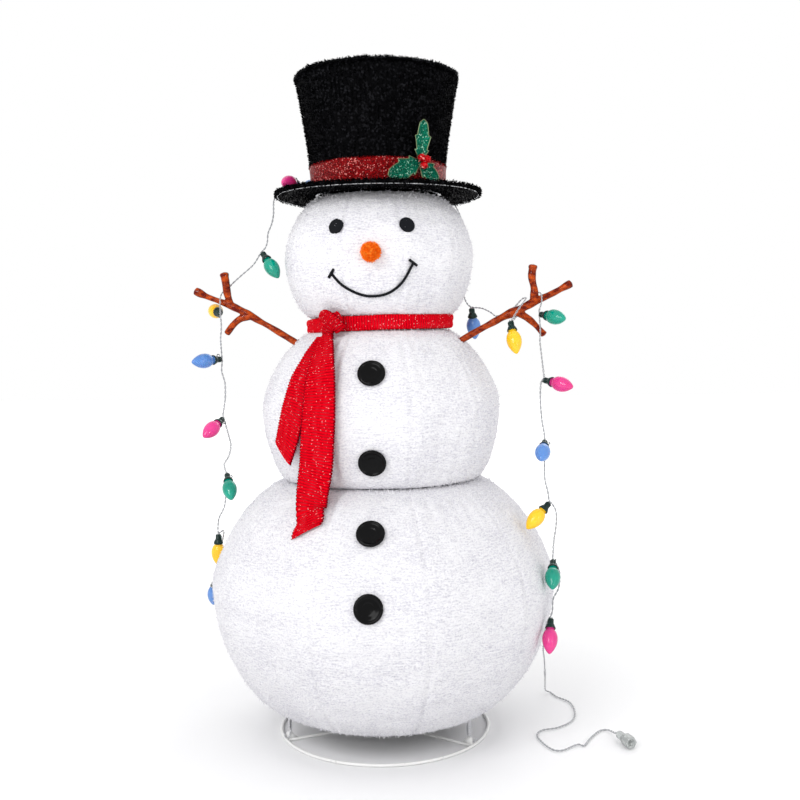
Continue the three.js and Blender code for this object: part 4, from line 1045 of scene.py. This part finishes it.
def make_holly():
    """Three glitter leaves and three berries on the band."""
    bearing = math.radians(-51.5)
    out = Vector((math.cos(bearing), math.sin(bearing), -0.1)).normalized()
    across = Vector((-math.sin(bearing), math.cos(bearing), 0))
    up = out.cross(across)
    centre = Vector(polar(float(crown_radius(1.289)) + 0.011, bearing, 1.280))
    sprig = placed(centre, across, up, out)
    leaves = Shape()
    leaf_sizes = ((90, 0.094, 0.042, 3), (203, 0.098, 0.050, 3), (-44, 0.066, 0.042, 2))
    for turn, long, wide, lobes in leaf_sizes:
        spin = Matrix.Rotation(math.radians(turn), 4, "Z") @ Matrix.Translation((-0.004, 0, -0.0005))
        make_leaf(leaves, sprig @ spin, long, wide, lobes)
    leaves.piece("holly_leaf_set", "hat", "green_glitter", [GREEN_GLITTER, LEAF_EDGE], ["holly_leaves"])
    berries = Shape()
    radius, flakes = 0.0085, 60
    bow = np.linspace(0, math.pi, 12)
    outline = np.stack([radius * np.sin(bow), -radius * np.cos(bow)], 1)
    outline[[0, -1], 0] = 0
    for x, y in ((-0.004, 0.008), (0.010, 0.006), (0.003, -0.008)):
        berries.lathe(outline, 14, 0, sprig @ Matrix.Translation((x, y, 0.0112)))
        roots = moved(rng.normal(0, 1, (flakes, 3)) * 0.001 + [x, y, 0.012], sprig)
        ways = unit(rng.normal(0, 1, (flakes, 3)) + 0.8 * np.array(out))
        berries.strands(roots, ways, 0.0105, 0.0022, 0.0, spread=0.2)
    berries.piece("holly_berry_set", "hat", "red_berry", [RED_BERRY], ["holly_berries"], smooth=False)


# ---------------------------------------------------------------- scarf
NECK_Z, HEAD_KEEP = 0.930, 0.35
# each tail's centreline: bearing in degrees, radius, height and half width
LONG_TAIL = [
    (-118, .220, .905, .015), (-116, .238, .880, .024), (-113, .272, .825, .033), (-112, .290, .755, .037),
    (-113, .290, .695, .039), (-114, .288, .637, .039), (-116, .288, .578, .038), (-116.5, .289, .547, .037),
    (-115, .308, .524, .034), (-114.5, .324, .506, .030),
]
SHORT_TAIL = [
    (-121, .214, .900, .014), (-123, .236, .866, .021), (-124, .252, .836, .028), (-125, .267, .806, .031),
    (-127, .280, .753, .033), (-131, .282, .695, .034), (-135, .282, .655, .033),
]


def knitted(centre, across, half, thick, slant=0.0, curl=0.003):
    """A closed strip of ribbed knit along a centreline, with a picot on each edge at every row."""
    along = unit(np.gradient(centre, axis=0))
    face = unit(np.cross(across, along))
    places = np.concatenate([[0], np.cumsum(np.linalg.norm(np.diff(centre, axis=0), axis=1))])
    columns = 27
    s = np.linspace(-1, 1, columns)
    row = np.abs(np.sin(math.pi * places / KNIT_ROW))
    picot = 1 + 0.0018 / half * np.where(row > 0.55, 1.0, 0.0)
    width = s[None] * (half * picot)[:, None]
    relief = 0.0011 * row[:, None] * (1 - 0.2 * np.abs(s[None]) ** 4)
    stitch = s[None] * half[:, None] / 0.0021 * math.pi + (places / KNIT_ROW)[:, None] * math.pi
    relief = relief + 0.0004 * np.sin(stitch)
    bow = -curl * np.abs(s[None]) ** 3
    skew = slant * s[None] * np.clip((places - places[-1] + 0.05) / 0.05, 0, 1)[:, None]
    base = centre[:, None] + across[:, None] * width[..., None] + along[:, None] * skew[..., None]
    taper = (1 - np.abs(s) ** 10 * 0.6)[None, :, None]
    top = base + face[:, None] * ((bow + relief)[..., None] + thick / 2 * taper)
    under = base + face[:, None] * (bow[..., None] - thick / 2 * taper)
    section = np.concatenate([top, under[:, ::-1]], 1)
    coords = np.stack(np.broadcast_arrays(np.concatenate([s, s[::-1]])[None], places[:, None]), -1)
    rows, ring = len(centre), np.arange(2 * columns)
    caps = []
    for end in (ring[::-1], (rows - 1) * 2 * columns + ring):
        caps += [(end[k], end[k + 1], end[-k - 2], end[-k - 1]) for k in range(columns - 1)]
    quads = grid_faces(rows, 2 * columns, wrap_columns=True)
    return section.reshape(-1, 3), [quads, np.array(caps)], coords


def make_tail(name, node, line, slant):
    """A hanging end of the scarf, cut at a slant."""
    points = np.array([[math.radians(a), r, z, half] for a, r, z, half in line])
    fine = smooth_line(points, 8)
    path = np.concatenate([polar(fine[:, 1], fine[:, 0], fine[:, 2]), fine[:, 3:]], 1)
    path = evenly(path, KNIT_ROW / 4)[0]
    centre, half = path[:, :3], path[:, 3]
    sway = soft_noise(centre, 11.0, 15)[:, None] * 0.003
    out = unit(centre * [1, 1, 0])
    centre = centre + out * sway
    along = unit(np.gradient(centre, axis=0))
    across = unit(np.cross(along, out))
    points, faces, coords = knitted(centre, across, half, 0.0042, slant)
    tail = Shape().add(points, faces, 0, coords).piece(name, "stand", "red_knit", [KNIT], [node])
    flatten(tail)


WRAP_TILT = 0.0045  # the turn sits this much higher on the right and lower on the left


def make_wrap():
    """The turn round the neck: one strip folded into three layers."""
    low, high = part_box("scarf_collar")
    mid, outer = (low.z + high.z) / 2, high.x
    section = [(-15.5, -10), (-15, 0), (-14, 10), (-11.5, 16.5), (-8.5, 12), (-8, 0), (-8, -11),
               (-5.8, -17.5), (-3, -16.5), (-0.8, -10), (-1.6, -1), (0.2, 6), (0, 13), (-3, 17.8), (-5.6, 16)]
    line, arc = evenly(smooth_line(np.array(section) * MM, 5), 0.0022)
    columns = int(2 * math.pi * outer / (KNIT_ROW / 4))
    bearing = around(columns)
    normal = unit(np.gradient(line, axis=0))[:, ::-1] * [1, -1]
    row = np.abs(np.sin(bearing * outer * math.pi / KNIT_ROW))
    crumple = 0.0022 * soft_noise(polar(outer, bearing, mid), 16.0, 17) + 0.0012 * np.sin(bearing * 3 + 0.5)
    line_r, line_z = line[:, :1], line[:, 1:]
    sides = []
    for lift in (0.0013, -0.0013):
        r = outer - 0.0025 + line_r + normal[:, :1] * (lift + np.sign(lift) * 0.0006 * row)
        z = mid + 0.85 * line_z + normal[:, 1:] * lift + crumple * (0.6 + 12 * line_z)
        sides.append(polar(r + 0.5 * crumple, bearing, z + WRAP_TILT * np.cos(bearing)))
    loop = np.concatenate([sides[0], sides[1][::-1]])
    across = np.concatenate([arc, arc[::-1]]) / arc[-1] * 2 - 1
    coords = np.stack(np.broadcast_arrays(across[:, None], (bearing * outer)[None]), -1)
    shape = Shape().add(loop, grid_faces(len(loop), columns, True, True), 0, coords)
    wrap = shape.piece("scarf_wrap", "neck", "red_knit", [KNIT], ["scarf_collar"])
    flatten(wrap)


def make_knot():
    """The tie: two overlapping loops of the strip round a pinched core."""
    low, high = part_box("scarf_knot")
    centre = (low + high) / 2
    bearing = math.atan2(centre.y, centre.x)
    across = Vector((-math.sin(bearing), math.cos(bearing), 0))
    out = Vector((math.cos(bearing), math.sin(bearing), 0))
    matrix = placed(centre, across, Vector((0, 0, 1)), out)
    turn, rise = np.meshgrid(around(64), np.linspace(-1.45, 1.45, 40), indexing="ij")
    girth = np.cos(rise) * (1 + 0.07 * np.sin(3 * turn + 2 * rise) * np.cos(rise))
    core = np.stack([25 * np.cos(turn) * girth, 22 * np.sin(rise), 13 * np.sin(turn) * girth], -1) * MM
    coords = np.stack([0.7 * np.sin(turn), rise * 0.03], -1)
    shape = Shape().add(moved(core.reshape(-1, 3), matrix), grid_faces(64, 40, wrap_rows=True), 0, coords)
    loops = (
        ([(-31, 8, -5), (-22, 16, 6), (-7, 15, 13), (10, 7, 15), (23, -6, 10), (29, -17, 1)], 12.5),
        ([(25, 15, -4), (16, 8, 8), (6, -5, 13), (-3, -19, 11), (-8, -32, 4)], 13.0),
    )
    for line, half in loops:
        strip = evenly(smooth_line(np.array(line) * MM, 12), KNIT_ROW / 4)[0]
        along = unit(np.gradient(strip, axis=0))
        side = unit(np.cross(along, unit(strip * [0.5, 0.5, 1.6] + [0, 0, 0.012])))
        points, faces, coords = knitted(strip, side, np.full(len(strip), half * MM), 0.0040, curl=0.006)
        shape.add(moved(points, matrix), faces, 0, coords)
    knot = shape.piece("scarf_tie", "neck", "red_knit", [KNIT], ["scarf_knot"])
    flatten(knot)


# ---------------------------------------------------------------- arms
ARM_Y = -0.050
# each limb as [x, z] points in the plane at ARM_Y
ARMS = {
    "left": {
        "stem": [(-.172, .881), (-.238, .922), (-.294, .954), (-.334, .976), (-.390, .998), (-.418, 1.012)],
        "down": [(-.292, .953), (-.314, .946), (-.332, .931), (-.347, .913)],
        "up": [(-.334, .975), (-.343, 1.000), (-.347, 1.028), (-.351, 1.051)],
    },
    "right": {
        "stem": [(.170, .881), (.240, .921), (.313, .955), (.349, .973), (.390, .992), (.434, 1.015)],
        "down": [(.311, .954), (.334, .940), (.354, .922), (.373, .901)],
        "up": [(.349, .972), (.352, 1.000), (.347, 1.030), (.350, 1.057)],
    },
}


def make_arm(side):
    """A moulded twig: knobbly limbs melted into one another, with a cut root."""
    shape = Shape()
    for k, (limb, thick) in enumerate((("stem", 0.0078), ("down", 0.0090), ("up", 0.0086))):
        line = smooth_line([(x, ARM_Y, z) for x, z in ARMS[side][limb]], 8)
        line, places = evenly(line, 0.004)
        share = places / places[-1]
        bend = np.stack([0 * share, soft_noise(line, 18.0, 21 + k), soft_noise(line, 24.0, 25 + k)], 1)
        swollen = -0.22 * share if limb == "down" else 0.26 * np.exp(-(((share - 0.96) / 0.05) ** 2))
        knob = 1 + 0.20 * soft_noise(line, 46.0, 29 + k) + swollen
        if limb == "stem":
            lower_fork = 0.32 * np.exp(-(((share - 0.50) / 0.06) ** 2))
            upper_fork = 0.28 * np.exp(-(((share - 0.66) / 0.05) ** 2))
            knob *= 0.95 + lower_fork + upper_fork
        shape.tube(line + bend * 0.0022 * np.sin(np.pi * share)[:, None], thick * knob, 14)
    arm = shape.piece(f"twig_{side}", f"arm_{side}", "amber_twig", [AMBER], [f"arm_{side}"])
    melt(arm, 0.0013, 6)


def melt(piece, voxel, rounds):
    """Joins a piece's overlapping bodies into one skin and smooths it."""
    remesh = piece.modifiers.new("join", "REMESH")
    remesh.mode, remesh.voxel_size, remesh.use_smooth_shade = "VOXEL", voxel, True
    smooth = piece.modifiers.new("smooth", "SMOOTH")
    smooth.iterations, smooth.factor = rounds, 0.6
    bpy.context.view_layer.update()
    done = bpy.data.meshes.new_from_object(piece.evaluated_get(bpy.context.evaluated_depsgraph_get()))
    piece.modifiers.clear()
    piece.data = done


# ---------------------------------------------------------------- stand
def make_gusset(radius):
    """A thin plate that stands on the ring's inner side, in the plane of a spoke."""
    outline = [(-26, 1), (-26, 6), (-12, 21), (-4, 22.5), (0, 20), (0, 1)]
    corners = len(outline)
    points = [(radius + x * MM, y * MM, z * MM) for y in (-1.4, 1.4) for x, z in outline]
    sides = [(k, (k + 1) % corners, corners + (k + 1) % corners, corners + k) for k in range(corners)]
    faces = [(0, k + 1, k) for k in range(1, corners - 1)]
    faces += [(corners, corners + k, corners + k + 1) for k in range(1, corners - 1)]
    return np.array(points), [np.array(sides), np.array(faces)]


def make_base():
    """The ground ring, its cup, spokes, gussets and weld beads, painted as one."""
    wire = 0.0035
    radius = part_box("base_ring")[1].x - wire
    shape = Shape()
    shape.tube(polar(radius, around(96), wire), wire, 12, closed=True)
    cup = [(0, 0), (21.2, 0), (22, 0.8), (22, 56), (21.4, 59.4), (20.4, 60), (17.6, 60), (16.9, 59),
           (16.6, 52), (16.6, 4), (0, 4)]
    shape.lathe(np.array(cup) * MM, 40)
    gusset, gusset_faces = make_gusset(radius)
    for spoke in SPOKES:
        turn = Matrix.Rotation(spoke, 4, "Z")
        shape.tube(moved([(0.018, 0, 0.0032), (0.13, 0, 0.0032), (radius, 0, 0.0034)], turn), 0.0031, 10)
        for side in (-1, 1):
            cup_bead = [(0.0215, side * 0.0025, 0.003), (0.0235, side * 0.0035, 0.005)]
            ring_bead = [(radius - 0.004, side * 0.0030, 0.0045), (radius - 0.0005, side * 0.0040, 0.0045)]
            shape.tube(moved(cup_bead, turn), 0.0019, 8)
            shape.tube(moved(ring_bead, turn), 0.0018, 8)
        shape.add(moved(gusset, turn), gusset_faces)
    shape.piece("ground_ring", "stand", "white_steel", [WHITE_STEEL], ["base_ring"], weld=True)


def make_ties():
    """Each tie: a loop of tape from the cover's hem and an S-hook over the ring."""
    tape = smooth_line(np.array([
        (231.5, 0, 62), (233, 0, 50), (233.5, 0, 38), (232.5, 0, 29), (230.5, 0, 26.2),
        (229, 0, 30), (228.5, 0, 40), (229, 0, 52), (229.5, 0, 62),
    ]) * MM, 5)
    hook = smooth_line(np.array([
        (232.5, 4.6, 30), (230, 4.6, 30), (229.2, 4.6, 27), (230.5, 4.6, 24.5), (232.5, 4.6, 22.5),
        (232.8, 4.6, 18), (234, 4.6, 13), (238.5, 4.6, 10.6), (243.2, 4.6, 12.6), (245, 4.6, 17),
        (244, 4.6, 19.5),
    ]) * MM, 4)
    rows, half, thick = len(tape), 0.0068, 0.0005
    out = frames(tape, side=(0, 1, 0))[1]
    corners = ((-half, -thick), (half, -thick), (half, thick), (-half, thick))
    points = np.stack([tape + out * lift + [0, y, 0] for y, lift in corners], 1).reshape(-1, 3)
    ends = np.array([[3, 2, 1, 0], [4 * rows - 4, 4 * rows - 3, 4 * rows - 2, 4 * rows - 1]])
    faces = [grid_faces(rows, 4, wrap_columns=True), ends]
    for number, spoke in enumerate(SPOKES, 1):
        turn = Matrix.Rotation(spoke, 4, "Z")
        shape = Shape().add(moved(points, turn), faces)
        shape.tube(moved(hook, turn), 0.0013, 8, 1)
        shape.piece(f"tape_tie_{number}", "stand", "strap", [STRAP, SPRING_STEEL], [f"tie_down_{number}"])


def paint_cad():
    """The working parts inside keep their CAD shape and take their finish here."""
    for node, piece in frame["nodes"].items():
        piece.data.materials.clear()
        piece.data.materials.append(ALUMINIUM if node.startswith("mast_") else SPRING_STEEL)


# ---------------------------------------------------------------- studio
def add_light(name, place, target, size, watts):
    data = bpy.data.lights.new(name, "AREA")
    data.energy, data.size = watts, size
    light = bpy.data.objects.new(name, data)
    light.location = place
    light.rotation_euler = (Vector(target) - Vector(place)).to_track_quat("-Z", "Y").to_euler()
    bpy.context.scene.collection.objects.link(light)


def make_floor():
    """A pale floor with painted light: it glows more away from the snowman until it meets the backdrop."""
    look = Look("pale_floor", (0.84, 0.84, 0.85), 0.9)
    mottle = look.noise(look.place(), 3.0)
    look.put("Base Color", look.blend(mottle, (0.86, 0.86, 0.865), (0.875, 0.875, 0.88)))
    flat = look.place((1, 1, 0))
    away = look.node("ShaderNodeVectorMath", {0: flat}, operation="LENGTH").outputs["Value"]
    # painted light: the floor emits more the farther it lies from the snowman
    look.put("Emission Color", (1.0, 1.0, 1.0, 1.0))
    look.put("Emission Strength", look.math("MULTIPLY", look.ramp(away, 0.5, 3.0), 0.4))
    half = 14.0
    mesh = bpy.data.meshes.new("floor")
    corners = [(-half, -half, 0), (half, -half, 0), (half, half, 0), (-half, half, 0)]
    mesh.from_pydata(corners, [], [(0, 1, 2, 3)])
    mesh.materials.append(look.material)
    plane = bpy.data.objects.new("floor", mesh)
    plane.location.z = -0.0006
    bpy.context.scene.collection.objects.link(plane)


def make_studio():
    """A white backdrop, a soft key from the left, and two small lights for glints."""
    scene = bpy.context.scene
    scene.view_settings.view_transform = "Standard"
    world = bpy.data.worlds.new("studio")
    scene.world = world
    world.use_nodes = True
    background = world.node_tree.nodes["Background"]
    background.inputs["Color"].default_value = (1.0, 1.0, 1.0, 1)
    background.inputs["Strength"].default_value = 1.0
    make_floor()
    add_light("key", (-1.3, -3.0, 2.2), (0, 0, 0.85), 1.8, 46)
    add_light("fill", (2.4, -2.4, 1.2), (0, 0, 0.7), 2.0, 7)
    add_light("rim", (1.2, 2.6, 2.6), (0, 0, 0.9), 1.6, 14)
    add_light("glint_left", (-1.0, -1.9, 1.9), (0, 0, 0.8), 0.10, 3)
    add_light("glint_right", (1.5, -1.9, 0.9), (0, 0, 0.8), 0.10, 2)


# ---------------------------------------------------------------- assembly
make_camera()
make_lights()
paint_cad()
make_base()
make_ties()
for ball, part, body, anchor_z, keep, tufts, seed in (
    (LOWER, "lower", "stand", LOWER.z0, 0.2935, 17000, 40),
    (MIDDLE, "middle", "waist", 0.578, 0.36, 9000, 50),
    (HEAD, "head", "neck", NECK_Z, HEAD_KEEP, 7000, 60),
):
    make_ribs(ball, f"{part}_rib_wires", body, f"{part}_ribs")
    make_cover(ball, f"{part}_cloth", body, tufts, seed)
make_eyes()
make_nose()
make_mouth()
make_buttons()
make_crown()
make_top()
make_brim()
make_band()
make_holly()
make_wrap()
make_knot()
make_tail("scarf_end_long", "scarf_tail_long", LONG_TAIL, 0.016)
make_tail("scarf_end_short", "scarf_tail_short", SHORT_TAIL, -0.010)
make_arm("left")
make_arm("right")
make_studio()
